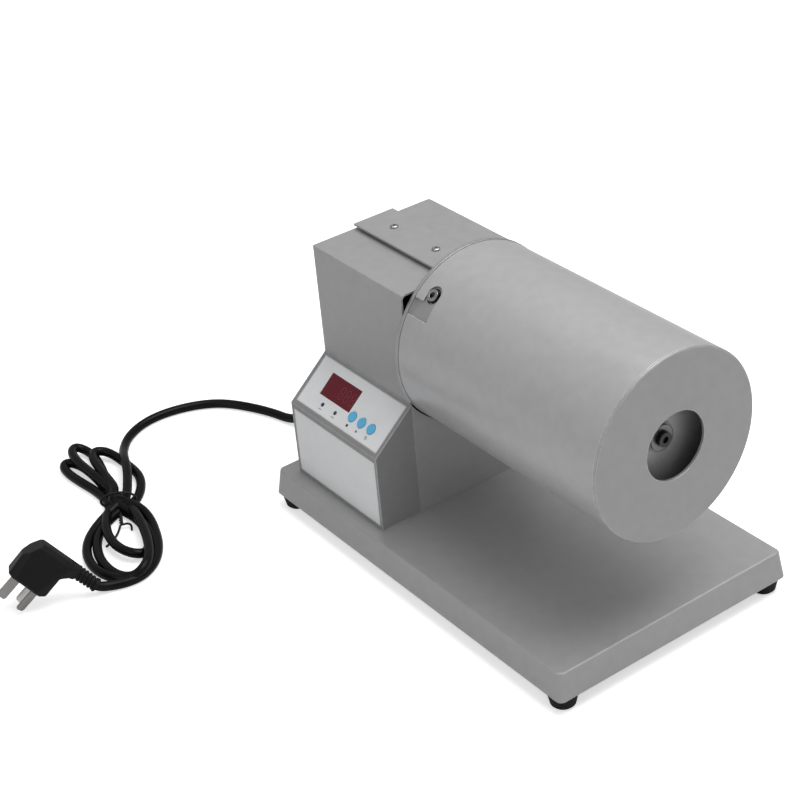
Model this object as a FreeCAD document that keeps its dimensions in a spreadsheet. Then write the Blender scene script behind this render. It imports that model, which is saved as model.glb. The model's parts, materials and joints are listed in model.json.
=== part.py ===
"""Laboratory broken rice separator: an indented drum on a benchtop drive.

Millimetres, +Z up. The origin is on the bench, under the middle of the base. The drum
axis runs along X and the control panel faces -Y.
"""
import FreeCAD, Part
import math
import os
from types import SimpleNamespace

import Sketcher
from FreeCAD import Placement, Rotation, Vector

# Driving sizes, in millimetres and degrees

sizes = {
    # base pan and feet
    "base_length": 320.0, "base_width": 196.0, "skirt_height": 20.0, "skirt_flare": 2.6,
    "base_sheet": 2.0, "base_corner": 4.5, "base_edge": 1.6, "return_flange": 26.0,
    "foot_height": 11.0, "foot_top_radius": 10.5, "foot_tip_radius": 8.4, "foot_inset": 10.8,
    "foot_edge": 1.6, "foot_recess_radius": 4.8, "foot_recess_depth": 6.0,
    # drive housing
    "housing_inset": 14.7, "housing_width": 103.6, "housing_depth": 104.0,
    "housing_height": 170.0, "housing_sheet": 1.5, "housing_edge": 1.0,
    "lap_start": 35.5, "lap_width": 33.5, "lap_rise": 3.8, "lap_gap": 0.5, "rear_bend": 5.0,
    "scallop_radius": 66.5, "corner_notch_radius": 70.6, "corner_notch_drop": 40.0,
    "wire_hole": 9.0, "tab_length": 12.0, "tab_inset": 6.0,
    "cover_screw_first": 24.7, "cover_screw_pitch": 47.6,
    # control box and panel
    "box_inset": 1.4, "box_width": 102.2, "box_depth": 33.2, "crease_height": 58.4,
    "slope_angle": 41.1, "box_sheet": 2.0, "recess_depth": 0.8, "plate_thickness": 0.6,
    "plate_margin": 3.5, "panel_plate_height": 37.2, "panel_plate_start": 3.8,
    "front_plate_width": 97.0, "front_plate_height": 51.0, "front_plate_start": 3.0,
    "window_left": 19.7, "window_start": 16.3, "window_width": 35.4, "window_height": 17.3,
    "light_left": 28.7, "light_pitch": 15.2, "light_start": 10.8, "light_radius": 1.5,
    "button_left": 60.5, "button_pitch": 11.0, "button_start": 15.3, "button_radius": 3.8,
    "button_travel": 0.6, "button_rise": 0.7, "button_clearance": 0.3, "panel_clearance": 0.1,
    "board_depth": 10.0, "board_thickness": 1.6, "board_start": 2.5, "board_height": 27.0,
    # drum and its bayonet
    "axis_y": 3.5, "axis_height": 123.5, "drum_length": 195.0, "drum_radius": 65.0,
    "shell_wall": 1.5, "ring_radius": 65.5, "ring_thickness": 2.4, "ring_gap": 0.5,
    "seam_gap": 0.3, "spigot_clearance": 0.3, "spigot_length": 24.0, "spigot_wall": 6.0,
    "web_thickness": 6.0, "slot_width": 11.8, "slot_axial": 14.1, "seat_angle": 50.3,
    "entry_angle": 38.5, "screw_angle": 49.2, "screw_axial": 12.9, "screw_head_radius": 4.25,
    "screw_head_height": 5.0, "screw_pocket_radius": 5.6, "cap_thickness": 2.0,
    "cap_edge": 0.8, "cap_flange": 8.0, "mouth_radius": 23.5, "sleeve_wall": 2.0,
    "close_fit": 0.05,
    # spindle, bearings and gears
    "spindle_radius": 15.0, "spindle_bore": 8.0, "nose_flange_radius": 30.0,
    "nose_flange_width": 6.0, "pilot_radius": 17.0, "bearing_radius": 27.5,
    "bearing_width": 13.0, "inner_ring_radius": 19.0, "outer_ring_radius": 23.5,
    "shield_width": 1.2, "shield_gap": 0.1, "tube_radius": 34.0, "tube_length": 48.0,
    "tube_flange_radius": 43.0, "tube_flange_width": 6.0,
    "gear_module": 1.25, "gear_teeth": 68.0, "pinion_teeth": 18.0, "gear_width": 10.0,
    "gear_backlash": 0.3, "gear_offset": 2.5, "hub_radius": 22.0, "hub_width": 4.0,
    # drive plate and gear motor
    "plate_inset": 33.3, "plate_sheet": 4.0, "plate_width": 88.0, "plate_top": 160.0,
    "plate_foot": 26.0, "motor_offset": 20.0, "motor_radius": 30.0, "motor_length": 37.0,
    "gearbox_length": 22.0, "boss_radius": 9.0, "motor_shaft_radius": 4.0,
    # trough and its fixed shaft
    "shaft_radius": 6.0, "support_inset": 4.8, "support_sheet": 4.0, "support_foot": 20.0,
    "support_width": 50.0, "support_rise": 16.0, "trough_radius": 45.0, "trough_sheet": 1.2,
    "trough_start": 26.5, "trough_stop": 15.0, "end_plate": 1.5, "hub_sleeve_radius": 10.0,
    "hub_sleeve_length": 9.0, "washer_radius": 9.0, "washer_thickness": 1.5,
    "tapping_radius": 3.0, "tapping_depth": 16.0,
    # screws: thread radius, head radius and height, and the hole each goes through
    "m3_radius": 1.5, "m3_head_radius": 2.9, "m3_head_height": 1.7, "m3_hole": 1.7,
    "m4_radius": 2.0, "m4_head_radius": 3.5, "m4_head_height": 2.6, "m4_hole": 2.2,
    "m5_radius": 2.5, "m5_head_radius": 4.2, "m5_head_height": 3.2, "m5_hole": 2.7,
    "m6_radius": 2.95, "m6_head_radius": 5.0, "m6_head_height": 3.0, "socket_radius": 2.5,
    "screw_reach": 6.0,
    # mains lead
    "cord_radius": 3.5, "gland_y": -14.0, "gland_z": 47.0, "gland_collar_radius": 9.5,
    "gland_collar_width": 8.0, "gland_nut_width": 2.5, "relief_length": 19.0,
    "relief_root_radius": 7.0, "relief_tip_radius": 5.2, "hank_height": 16.0,
    "tie_half_width": 11.5, "tie_width": 4.0, "tie_sheet": 1.2, "plug_half": 12.0,
    "plug_neck_radius": 5.5, "plug_tip_radius": 4.8, "blade_root": 17.0, "blade_tip": 43.8,
    "blade_thickness": 1.5, "earth_blade_at": -46.9, "earth_blade_width": 7.0,
    "earth_blade_extra": 2.5, "pair_blade_at": -32.8,
    "pair_blade_width": 6.35, "pair_blade_across": 6.85,
}

doc = FreeCAD.newDocument("rice_separator")
sheet = doc.addObject("Spreadsheet::Sheet", "Sizes")
for row, (word, number) in enumerate(sizes.items(), start=1):
    sheet.set("A%d" % row, word)
    sheet.set("B%d" % row, repr(number))
    sheet.setAlias("B%d" % row, word)
doc.recompute()


class Size:
    """A number that remembers the sheet formula it was worked out by."""

    def __init__(self, value, text):
        self.value = float(value)
        self.text = text

    def __add__(self, other):
        other = as_size(other)
        return Size(self.value + other.value, "(%s + %s)" % (self.text, other.text))

    def __sub__(self, other):
        other = as_size(other)
        return Size(self.value - other.value, "(%s - %s)" % (self.text, other.text))

    def __mul__(self, other):
        other = as_size(other)
        return Size(self.value * other.value, "(%s * %s)" % (self.text, other.text))

    def __truediv__(self, other):
        other = as_size(other)
        return Size(self.value / other.value, "(%s / %s)" % (self.text, other.text))

    def __radd__(self, other):
        return as_size(other) + self

    def __rsub__(self, other):
        return as_size(other) - self

    def __rmul__(self, other):
        return as_size(other) * self

    def __neg__(self):
        return as_size(0) - self


def as_size(number):
    """Turn a plain number into a Size, and leave a Size as it is."""
    return number if isinstance(number, Size) else Size(number, repr(float(number)))


def sine(angle):
    return Size(math.sin(math.radians(angle.value)), "sin(%s)" % angle.text)


def cosine(angle):
    return Size(math.cos(math.radians(angle.value)), "cos(%s)" % angle.text)


s = SimpleNamespace(**{word: Size(number, "Sizes." + word) for word, number in sizes.items()})

# Places that several pieces share

half_length = s.base_length * 0.5
half_width = s.base_width * 0.5
base_top = s.foot_height + s.skirt_height
housing_left = s.housing_inset - half_length
housing_right = housing_left + s.housing_width
box_left = housing_left + s.box_inset
plate_left = housing_left + s.plate_inset
support_left = housing_left + s.support_inset
housing_front = s.housing_depth * -0.5
housing_rear = s.housing_depth * 0.5
housing_top = base_top + s.housing_height
lap_front = housing_front + s.lap_start
lap_rear = lap_front + s.lap_width
lap_top = housing_top + s.lap_rise
box_front = housing_front - s.box_depth
crease = base_top + s.crease_height
slope_rise = sine(s.slope_angle) / cosine(s.slope_angle)
panel_top = crease + s.box_depth * slope_rise
axis_z = base_top + s.axis_height
ring_back = housing_right + s.ring_gap
ring_front = ring_back + s.ring_thickness
seam = ring_front + s.seam_gap
drum_end = seam + s.drum_length
shell_inner = s.drum_radius - s.shell_wall
spigot_radius = shell_inner - s.spigot_clearance
spigot_end = ring_front + s.spigot_length
plate_right = plate_left + s.plate_sheet
tube_end = plate_right + s.tube_length
gear_right = plate_left - s.gear_offset
gear_left = gear_right - s.gear_width
spindle_left = gear_left - s.hub_width
gear_centres = (s.gear_teeth + s.pinion_teeth) * s.gear_module * 0.5
pinion_z = axis_z - gear_centres
motor_z = pinion_z - s.motor_offset
screw_seat = spigot_radius - 3.0
trough_left = seam + s.trough_start
trough_right = drum_end - s.trough_stop
shaft_end = trough_right + 1.5

# Helpers: every size that reaches an object stays bound to the sheet


def bind(thing, prop, size):
    """Bind a property to the sheet formula of a size."""
    thing.setExpression(prop, as_size(size).text)


def place(thing, x, y, z, rotation=None):
    """Put an object somewhere, with its position bound to the sheet."""
    spot = Vector(as_size(x).value, as_size(y).value, as_size(z).value)
    thing.Placement = Placement(spot, rotation or Rotation())
    for letter, size in zip("xyz", (x, y, z)):
        bind(thing, "Placement.Base." + letter, size)
    return thing


TURNS = {"X": Rotation(Vector(0, 1, 0), 90), "Y": Rotation(Vector(1, 0, 0), -90),
         "Z": Rotation()}


def block(name, low, extent):
    """A box from its low corner and its length along X, Y and Z."""
    box = doc.addObject("Part::Box", name)
    for prop, size in zip(("Length", "Width", "Height"), extent):
        bind(box, prop, size)
    return place(box, *low)


def rod(name, radius, length, start, along="X"):
    """A round bar from the centre of its first end face."""
    bar = doc.addObject("Part::Cylinder", name)
    bind(bar, "Radius", radius)
    bind(bar, "Height", length)
    return place(bar, *start, TURNS[along])


def cone(name, start_radius, end_radius, length, start, along="X"):
    """A tapered bar from the centre of its first end face."""
    bar = doc.addObject("Part::Cone", name)
    bind(bar, "Radius1", start_radius)
    bind(bar, "Radius2", end_radius)
    bind(bar, "Height", length)
    return place(bar, *start, TURNS[along])


def fuse(name, *pieces):
    union = doc.addObject("Part::MultiFuse", name)
    union.Shapes = list(pieces)
    return union


def cut(name, base, *tools):
    """Take the tools away from the base."""
    result = doc.addObject("Part::Cut", name)
    result.Base = base
    result.Tool = tools[0] if len(tools) == 1 else fuse(name + "_tools", *tools)
    return result


def shared(name, *pieces):
    """What all the pieces have in common."""
    common = doc.addObject("Part::MultiCommon", name)
    common.Shapes = list(pieces)
    return common


def group(name, *pieces):
    """Separate solids that share one node."""
    together = doc.addObject("Part::Compound", name)
    together.Links = list(pieces)
    return together


def mirror(name, source, normal):
    image = doc.addObject("Part::Mirroring", name)
    image.Source = source
    image.Normal = normal
    return image


def four_corners(name, piece):
    """One piece and its images across the two upright middle planes."""
    across = mirror(name + "_across", piece, Vector(1, 0, 0))
    behind = mirror(name + "_behind", piece, Vector(0, 1, 0))
    opposite = mirror(name + "_opposite", across, Vector(0, 1, 0))
    return group(name, piece, across, behind, opposite)


def edges_where(shape, test):
    """Numbers of the edges whose two end points and middle pass a test."""
    found = []
    for number, edge in enumerate(shape.Edges, start=1):
        middle = edge.valueAt((edge.FirstParameter + edge.LastParameter) / 2)
        if test(edge, middle):
            found.append(number)
    return found


def rounded(name, base, radius, test):
    """Round the edges that pass a test."""
    doc.recompute()
    fillet = doc.addObject("Part::Fillet", name)
    fillet.Base = base
    numbers = edges_where(base.Shape, test)
    fillet.Edges = [(number, as_size(radius).value, as_size(radius).value) for number in numbers]
    return fillet


def dress(body, kind, name, size_name, size, base, test):
    """A fillet or chamfer inside a body, on the edges that pass a test."""
    doc.recompute()
    numbers = edges_where(base.Shape, test)
    feature = body.newObject("PartDesign::" + kind, name)
    feature.Base = (base, ["Edge%d" % number for number in numbers])
    bind(feature, size_name, size)
    return feature


# Sketches: outlines whose corners are dimensioned from the sheet


def new_body(name):
    return doc.addObject("PartDesign::Body", name)


def new_sketch(body, name, plane="XY_Plane", offset=(0, 0, 0), tilt=None):
    """A sketch on a plane of its own body, shifted and tilted about its X axis."""
    sketch = body.newObject("Sketcher::SketchObject", name)
    origin = [item for item in body.Origin.OriginFeatures if item.Role == plane][0]
    sketch.AttachmentSupport = [(origin, "")]
    sketch.MapMode = "FlatFace"
    shift = Vector(*[as_size(size).value for size in offset])
    angle = as_size(tilt).value if tilt is not None else 0
    sketch.AttachmentOffset = Placement(shift, Rotation(Vector(1, 0, 0), angle))
    for letter, size in zip("xyz", offset):
        bind(sketch, "AttachmentOffset.Base." + letter, size)
    if tilt is not None:
        bind(sketch, "AttachmentOffset.Rotation.Angle", tilt)
    return sketch


def dimension(sketch, geometry, position, x, y):
    """Hold a point of a sketch at a place from the sheet."""
    for kind, size, axis in (("DistanceX", as_size(x), -2), ("DistanceY", as_size(y), -1)):
        if abs(size.value) < 1e-9:
            sketch.addConstraint(Sketcher.Constraint("PointOnObject", geometry, position, axis))
            continue
        number = sketch.addConstraint(
            Sketcher.Constraint(kind, -1, 1, geometry, position, size.value))
        sketch.setExpression("Constraints[%d]" % number, size.text)


def outline(sketch, points):
    """A closed outline of straight lines through dimensioned corners."""
    corners = [Vector(as_size(x).value, as_size(y).value, 0) for x, y in points]
    first = sketch.GeometryCount
    count = len(corners)
    for number in range(count):
        sketch.addGeometry(Part.LineSegment(corners[number], corners[(number + 1) % count]))
    for number in range(count):
        following = first + (number + 1) % count
        sketch.addConstraint(Sketcher.Constraint("Coincident", first + number, 2, following, 1))
    for number, (x, y) in enumerate(points):
        dimension(sketch, first + number, 1, x, y)


def rectangle(sketch, left, low, width, height):
    outline(sketch, [(left, low), (left + width, low), (left + width, low + height),
                     (left, low + height)])


def circle(sketch, x, y, radius):
    centre = Vector(as_size(x).value, as_size(y).value, 0)
    number = sketch.addGeometry(Part.Circle(centre, Vector(0, 0, 1), as_size(radius).value))
    dimension(sketch, number, 3, x, y)
    held = sketch.addConstraint(Sketcher.Constraint("Radius", number, as_size(radius).value))
    sketch.setExpression("Constraints[%d]" % held, as_size(radius).text)


def pad(body, sketch, length):
    feature = body.newObject("PartDesign::Pad", sketch.Name + "_pad")
    feature.Profile = sketch
    bind(feature, "Length", length)
    return feature


def pocket(body, sketch, depth):
    """Cut a sketch's outline into the body, against the sketch's normal."""
    feature = body.newObject("PartDesign::Pocket", sketch.Name + "_pocket")
    feature.Profile = sketch
    bind(feature, "Length", depth)
    return feature


def turned(name, points, y=0, z=0):
    """A piece turned about an axis along X, from its half section (x, radius)."""
    body = new_body(name)
    sketch = new_sketch(body, name + "_section")
    outline(sketch, points)
    feature = body.newObject("PartDesign::Revolution", name + "_turning")
    feature.Profile = sketch
    feature.ReferenceAxis = (sketch, ["H_Axis"])
    feature.Angle = 360
    return place(body, 0, y, z)


def around_axis(angle, radius):
    """A point around the drum axis: 0 degrees is towards the front, 90 is up."""
    turn = math.radians(angle)
    return -radius * math.cos(turn), radius * math.sin(turn)


# Base pan: a pressed pan whose skirt flares out and turns in again underneath

flange_top = s.foot_height + s.base_sheet
cavity_top = base_top - s.base_sheet
cavity_shift = s.skirt_flare / s.skirt_height * s.base_sheet


def frustum(name, low, low_x, low_y, high, high_x, high_y):
    """A centred block whose half length and half width change evenly with height."""
    solid = doc.addObject("Part::Wedge", name)
    for prop, size in (("Xmin", -low_x), ("Xmax", low_x), ("Zmin", -low_y), ("Zmax", low_y),
                       ("X2min", -high_x), ("X2max", high_x), ("Z2min", -high_y),
                       ("Z2max", high_y), ("Ymin", as_size(0)), ("Ymax", high - low)):
        setattr(solid, prop, size.value)
        bind(solid, prop, size)
    return place(solid, 0, 0, low, Rotation(Vector(1, 0, 0), 90))


def leaning(edge, middle):
    """Test for the slanting corner edges of a frustum."""
    ends = [vertex.Point for vertex in edge.Vertexes]
    return abs(ends[0].z - ends[-1].z) > s.skirt_height.value * 0.6


def pan_top_edge(edge, middle):
    return min(vertex.Point.z for vertex in edge.Vertexes) > base_top.value - 0.01


pan_outside = frustum("pan_outside", s.foot_height, half_length, half_width,
                      base_top, half_length - s.skirt_flare, half_width - s.skirt_flare)
pan_round = rounded("pan_round", pan_outside, s.base_corner, leaning)
pan_smooth = rounded("pan_smooth", pan_round, s.base_edge, pan_top_edge)
pan_hollow = frustum(
    "pan_hollow", flange_top, half_length - s.base_sheet - cavity_shift,
    half_width - s.base_sheet - cavity_shift, cavity_top,
    half_length - s.skirt_flare - s.base_sheet + cavity_shift,
    half_width - s.skirt_flare - s.base_sheet + cavity_shift)
pan_hollow_round = rounded("pan_hollow_round", pan_hollow, s.base_corner - s.base_sheet, leaning)
opening_x = half_length - s.return_flange
opening_y = half_width - s.return_flange
pan_opening = block("pan_opening", (-opening_x, -opening_y, s.foot_height - 1),
                    (opening_x * 2, opening_y * 2, s.base_sheet * 2))
foot_x = half_length - s.foot_inset
foot_y = half_width - s.foot_inset
foot_holes = four_corners("foot_holes", rod("foot_bolt_hole", s.m4_hole, s.base_sheet * 3,
                                            (foot_x, foot_y, s.foot_height - 1), "Z"))

# Rubber feet, each with a recess for its screw

foot_tread = cone("foot_tread", s.foot_tip_radius - s.foot_edge, s.foot_tip_radius, s.foot_edge,
                  (foot_x, foot_y, 0), "Z")
foot_cone = cone("foot_cone", s.foot_tip_radius, s.foot_top_radius, s.foot_height - s.foot_edge,
                 (foot_x, foot_y, s.foot_edge), "Z")
foot_recess = rod("foot_recess", s.foot_recess_radius, s.foot_recess_depth,
                  (foot_x, foot_y, 0), "Z")
foot_hole = rod("foot_hole", s.m4_hole, s.foot_height, (foot_x, foot_y, 0), "Z")
foot = cut("foot", fuse("foot_solid", foot_tread, foot_cone), foot_recess, foot_hole)
feet = four_corners("rubber_feet", foot)


def screw(name, thread, shank_length, start, along, reverse=False):
    """A screw whose head stands at start and whose shank runs along or against the axis."""
    radius, head_radius, head_height = [getattr(s, thread + word) for word in
                                        ("_radius", "_head_radius", "_head_height")]
    axis = "XYZ".index(along)
    head_start = list(start)
    shank_start = list(start)
    if reverse:
        shank_start[axis] = as_size(start[axis]) - shank_length
    else:
        head_start[axis] = as_size(start[axis]) - head_height
    head = rod(name + "_head", head_radius, head_height, head_start, along)
    shank = rod(name + "_shank", radius, shank_length, shank_start, along)
    return fuse(name, head, shank)


screw_seat_z = s.foot_recess_depth
foot_screw = screw("foot_screw", "m4", flange_top - screw_seat_z + s.m4_head_radius * 1.5,
                   (foot_x, foot_y, screw_seat_z), "Z")
foot_nut = rod("foot_nut", s.m4_head_radius, s.m4_head_radius, (foot_x, foot_y, flange_top), "Z")
foot_fastener = fuse("foot_fastener", foot_screw, foot_nut)
foot_screws = four_corners("foot_screws", foot_fastener)

# Front housing: folded sheet, open behind and below, scalloped round the drive flange

wall = s.housing_sheet
housing_height = housing_top - base_top
shell_outside = block("housing_outside", (housing_left, housing_front, base_top),
                      (s.housing_width, s.housing_depth - wall, housing_height))
shell_outside_round = rounded(
    "housing_outside_round", shell_outside, s.housing_edge,
    lambda edge, middle: (abs(middle.y - housing_front.value) < 0.01
                          and middle.z > base_top.value + 1))
shell_inside = block("housing_inside", (housing_left + wall, housing_front + wall, base_top),
                     (s.housing_width - wall * 2, s.housing_depth, housing_height - wall))
top_front_end = lap_rear - wall - s.lap_gap
shell_top_cut = block("housing_top_cut", (housing_left, top_front_end, housing_top - wall),
                      (s.housing_width, s.housing_depth, wall * 2))
scallop = rod("housing_scallop", s.scallop_radius, wall * 2,
              (housing_right - wall, s.axis_y, axis_z))
notch_round = rod("notch_round", s.corner_notch_radius, wall * 2,
                  (housing_right - wall, s.axis_y, axis_z))
notch_corner = block("notch_corner", (housing_right - wall, housing_front - 1,
                                      housing_top - s.corner_notch_drop),
                     (wall * 2, s.corner_notch_drop * 0.5, s.corner_notch_drop + 1))
corner_notch = shared("corner_notch", notch_round, notch_corner)
gland_hole = rod("gland_hole", s.relief_root_radius, wall * 3,
                 (housing_left - wall, s.gland_y, s.gland_z))
wire_x = box_left + s.box_width * 0.5
wire_z = base_top + s.crease_height * 0.5
wire_opening = rod("wire_opening", s.wire_hole, wall * 3,
                   (wire_x, housing_front - wall, wire_z), "Y")
cover_screw_y = lap_front + s.lap_width * 0.5
cover_screw_x = [housing_left + s.cover_screw_first,
                 housing_left + s.cover_screw_first + s.cover_screw_pitch]
tapped = [rod("tapped_%d" % number, s.m3_hole, wall * 3,
              (x, cover_screw_y, housing_top - wall * 2), "Z")
          for number, x in enumerate(cover_screw_x)]
tab_places = [(housing_left + wall + s.tab_inset, housing_front + wall, -1),
              (housing_right - wall - s.tab_inset - s.tab_length, housing_front + wall, -1),
              (housing_left + wall + s.tab_inset, housing_rear - wall - s.tab_length, 1),
              (housing_right - wall - s.tab_inset - s.tab_length,
               housing_rear - wall - s.tab_length, 1)]
tab_screws_at = [(x + s.tab_length * 0.5, y + s.tab_length * 0.5) for x, y, side in tab_places]
tab_holes = [rod("tab_hole_%d" % number, s.m4_hole, wall * 3, (x, y, base_top - wall), "Z")
             for number, (x, y) in enumerate(tab_screws_at)]
tabs = [block("tab_%d" % number, (x, y, base_top), (s.tab_length, s.tab_length, wall))
        for number, (x, y, side) in enumerate(tab_places)]
housing_sheet = cut("housing_folded", shell_outside_round, shell_inside, shell_top_cut, scallop,
                    corner_notch, gland_hole, wire_opening, *tapped)
housing_bored = cut("housing_bored", fuse("housing_with_tabs", housing_sheet, *tabs[:2]),
                    *tab_holes[:2])
front_housing = rounded(
    "front_housing", housing_bored, s.rear_bend,
    lambda edge, middle: (abs(middle.y - (housing_rear - wall).value) < 0.01
                          and abs(middle.z - (housing_top - wall).value) < 0.01))
housing_screws = group("housing_screws", *[
    screw("housing_screw_%d" % number, "m4", s.screw_reach, (x, y, base_top + wall), "Z",
          reverse=True)
    for number, (x, y) in enumerate(tab_screws_at)])

# Rear cover: one bent sheet whose top steps up and laps over the front housing

cover_sheet = new_body("cover_sheet")
cover_profile = new_sketch(cover_sheet, "cover_profile", "YZ_Plane", (0, 0, housing_left))
outline(cover_profile, [
    (housing_rear, base_top), (housing_rear, housing_top), (lap_rear, housing_top),
    (lap_rear, lap_top), (lap_front, lap_top), (lap_front, lap_top - wall),
    (lap_rear - wall, lap_top - wall), (lap_rear - wall, housing_top - wall),
    (housing_rear - wall, housing_top - wall), (housing_rear - wall, base_top)])
cover_pad = pad(cover_sheet, cover_profile, s.housing_width)
bend_outer = dress(cover_sheet, "Fillet", "cover_bend_outer", "Radius", s.rear_bend, cover_pad,
                   lambda edge, middle: (abs(middle.y - housing_rear.value) < 0.01
                                         and abs(middle.z - housing_top.value) < 0.01))
bend_inner = dress(cover_sheet, "Fillet", "cover_bend_inner", "Radius", s.rear_bend - wall,
                   bend_outer,
                   lambda edge, middle: (abs(middle.y - (housing_rear - wall).value) < 0.01
                                         and abs(middle.z - (housing_top - wall).value) < 0.01))
cover_holes = new_sketch(cover_sheet, "cover_holes", offset=(0, 0, lap_top))
for x in cover_screw_x:
    circle(cover_holes, x, cover_screw_y, s.m3_hole)
pocket(cover_sheet, cover_holes, wall * 2)
rear_cover = cut("rear_cover", fuse("cover_with_tabs", cover_sheet, *tabs[2:]), *tab_holes[2:])

# Gasket under the lap and the two screws that hold it down

gasket_strip = block("gasket_strip", (housing_left + 3, lap_front + 3, housing_top),
                     (s.housing_width - 6, s.lap_width - wall - 5, s.lap_rise - wall))
gasket_holes = [rod("gasket_hole_%d" % number, s.m3_hole, s.lap_rise * 2,
                    (x, cover_screw_y, housing_top - 1), "Z")
                for number, x in enumerate(cover_screw_x)]
cover_gasket = cut("cover_gasket", gasket_strip, *gasket_holes)
cover_screws = group("cover_screws", *[
    screw("cover_screw_%d" % number, "m3", s.lap_rise + wall, (x, cover_screw_y, lap_top), "Z",
          reverse=True)
    for number, x in enumerate(cover_screw_x)])

# Control box: sheet box with a sloping panel, both faces recessed for their plates

panel_wall = s.box_sheet
panel_drop = panel_wall / cosine(s.slope_angle)
control_box = new_body("control_box")
box_profile = new_sketch(control_box, "box_profile", "YZ_Plane", (0, 0, box_left))
outline(box_profile, [(housing_front, base_top), (housing_front, panel_top),
                      (box_front, crease), (box_front, base_top)])
box_pad = pad(control_box, box_profile, s.box_width)
box_hollow = new_sketch(control_box, "box_hollow", "YZ_Plane",
                        (0, 0, box_left + s.box_width - panel_wall))
outline(box_hollow, [(housing_front, base_top), (housing_front, panel_top - panel_drop),
                     (box_front + panel_wall, crease - panel_drop + panel_wall * slope_rise),
                     (box_front + panel_wall, base_top)])
pocket(control_box, box_hollow, s.box_width - panel_wall * 2)


def slope_sketch(body, name, rise):
    """A sketch on the panel slope: x from the box's left side, y up the slope."""
    along_y = box_front - rise * sine(s.slope_angle)
    along_z = crease + rise * cosine(s.slope_angle)
    return new_sketch(body, name, "XY_Plane", (box_left, along_y, along_z), s.slope_angle)


plate_width = s.box_width - s.plate_margin * 2
panel_recess = slope_sketch(control_box, "panel_recess", as_size(0))
rectangle(panel_recess, s.plate_margin - s.panel_clearance,
          s.panel_plate_start - s.panel_clearance,
          plate_width + s.panel_clearance * 2, s.panel_plate_height + s.panel_clearance * 2)
pocket(control_box, panel_recess, s.recess_depth)
button_places = [s.button_left + s.button_pitch * number for number in range(3)]
light_places = [s.light_left + s.light_pitch * number for number in range(2)]
panel_openings = slope_sketch(control_box, "panel_openings", as_size(0))
rectangle(panel_openings, s.window_left - s.panel_clearance, s.window_start - s.panel_clearance,
          s.window_width + s.panel_clearance * 2, s.window_height + s.panel_clearance * 2)
for x in button_places:
    circle(panel_openings, x, s.button_start, s.button_radius + s.button_clearance)
for x in light_places:
    circle(panel_openings, x, s.light_start, s.light_radius + s.panel_clearance)
pocket(control_box, panel_openings, panel_wall * 1.5)
front_recess = new_sketch(control_box, "front_recess", "XZ_Plane", (0, 0, -box_front))
front_plate_left = box_left + (s.box_width - s.front_plate_width) * 0.5
front_plate_low = base_top + s.front_plate_start
rectangle(front_recess, front_plate_left - s.panel_clearance, front_plate_low - s.panel_clearance,
          s.front_plate_width + s.panel_clearance * 2,
          s.front_plate_height + s.panel_clearance * 2)
pocket(control_box, front_recess, s.recess_depth)

# Plates, window and the parts behind the panel

panel_plate = new_body("panel_plate")
plate_sketch = slope_sketch(panel_plate, "plate_sketch", -s.recess_depth)
rectangle(plate_sketch, s.plate_margin, s.panel_plate_start, plate_width, s.panel_plate_height)
rectangle(plate_sketch, s.window_left - s.panel_clearance, s.window_start - s.panel_clearance,
          s.window_width + s.panel_clearance * 2, s.window_height + s.panel_clearance * 2)
for x in button_places:
    circle(plate_sketch, x, s.button_start, s.button_radius + s.button_clearance)
for x in light_places:
    circle(plate_sketch, x, s.light_start, s.light_radius + s.panel_clearance)
pad(panel_plate, plate_sketch, s.plate_thickness)

front_plate = new_body("front_plate")
front_sketch = new_sketch(front_plate, "front_sketch", "XZ_Plane",
                          (0, 0, s.recess_depth * -1 - box_front))
rectangle(front_sketch, front_plate_left, front_plate_low, s.front_plate_width,
          s.front_plate_height)
pad(front_plate, front_sketch, s.plate_thickness)


def slope_slab(name, low, high, left, start, width, height):
    """A rectangular piece that lies parallel to the panel, between two depths."""
    body = new_body(name)
    sketch = slope_sketch(body, name + "_sketch", low)
    rectangle(sketch, left, start, width, height)
    pad(body, sketch, high - low)
    return body


def slope_rod(name, radius, low, high, x, start):
    """A round piece that stands square to the panel, between two depths."""
    body = new_body(name)
    sketch = slope_sketch(body, name + "_sketch", low)
    circle(sketch, x, start, radius)
    pad(body, sketch, high - low)
    return body


board_face = -s.board_depth
display_window = slope_slab("display_window", -panel_wall, -s.recess_depth + 0.4, s.window_left,
                            s.window_start, s.window_width, s.window_height)
display_module = slope_slab("display_module", board_face, -panel_wall, s.window_left - 1.5,
                            s.window_start - 1.5, s.window_width + 1.5, s.window_height + 2.5)
control_board = slope_slab("control_board", board_face - s.board_thickness, board_face,
                           s.plate_margin + 2, s.board_start, plate_width - 4, s.board_height)
indicator_lights = group("indicator_lights", *[
    slope_rod("light_%d" % number, s.light_radius, board_face, as_size(-0.1), x, s.light_start)
    for number, x in enumerate(light_places)])
standoff_x = [s.plate_margin + 6, s.plate_margin + plate_width - 6]
standoff_y = [s.board_start + 3.5]
board_standoffs = group("board_standoffs", *[
    slope_rod("standoff_%d%d" % (column, line), as_size(2.5), board_face, -panel_wall, x, y)
    for column, x in enumerate(standoff_x) for line, y in enumerate(standoff_y)])
button_flange = s.button_radius + 0.9
button_shelf = -panel_wall - 0.3
button_foot = -panel_wall - 2.7
button_names = ["stop_button", "start_button", "timer_button"]
switches = []
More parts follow.
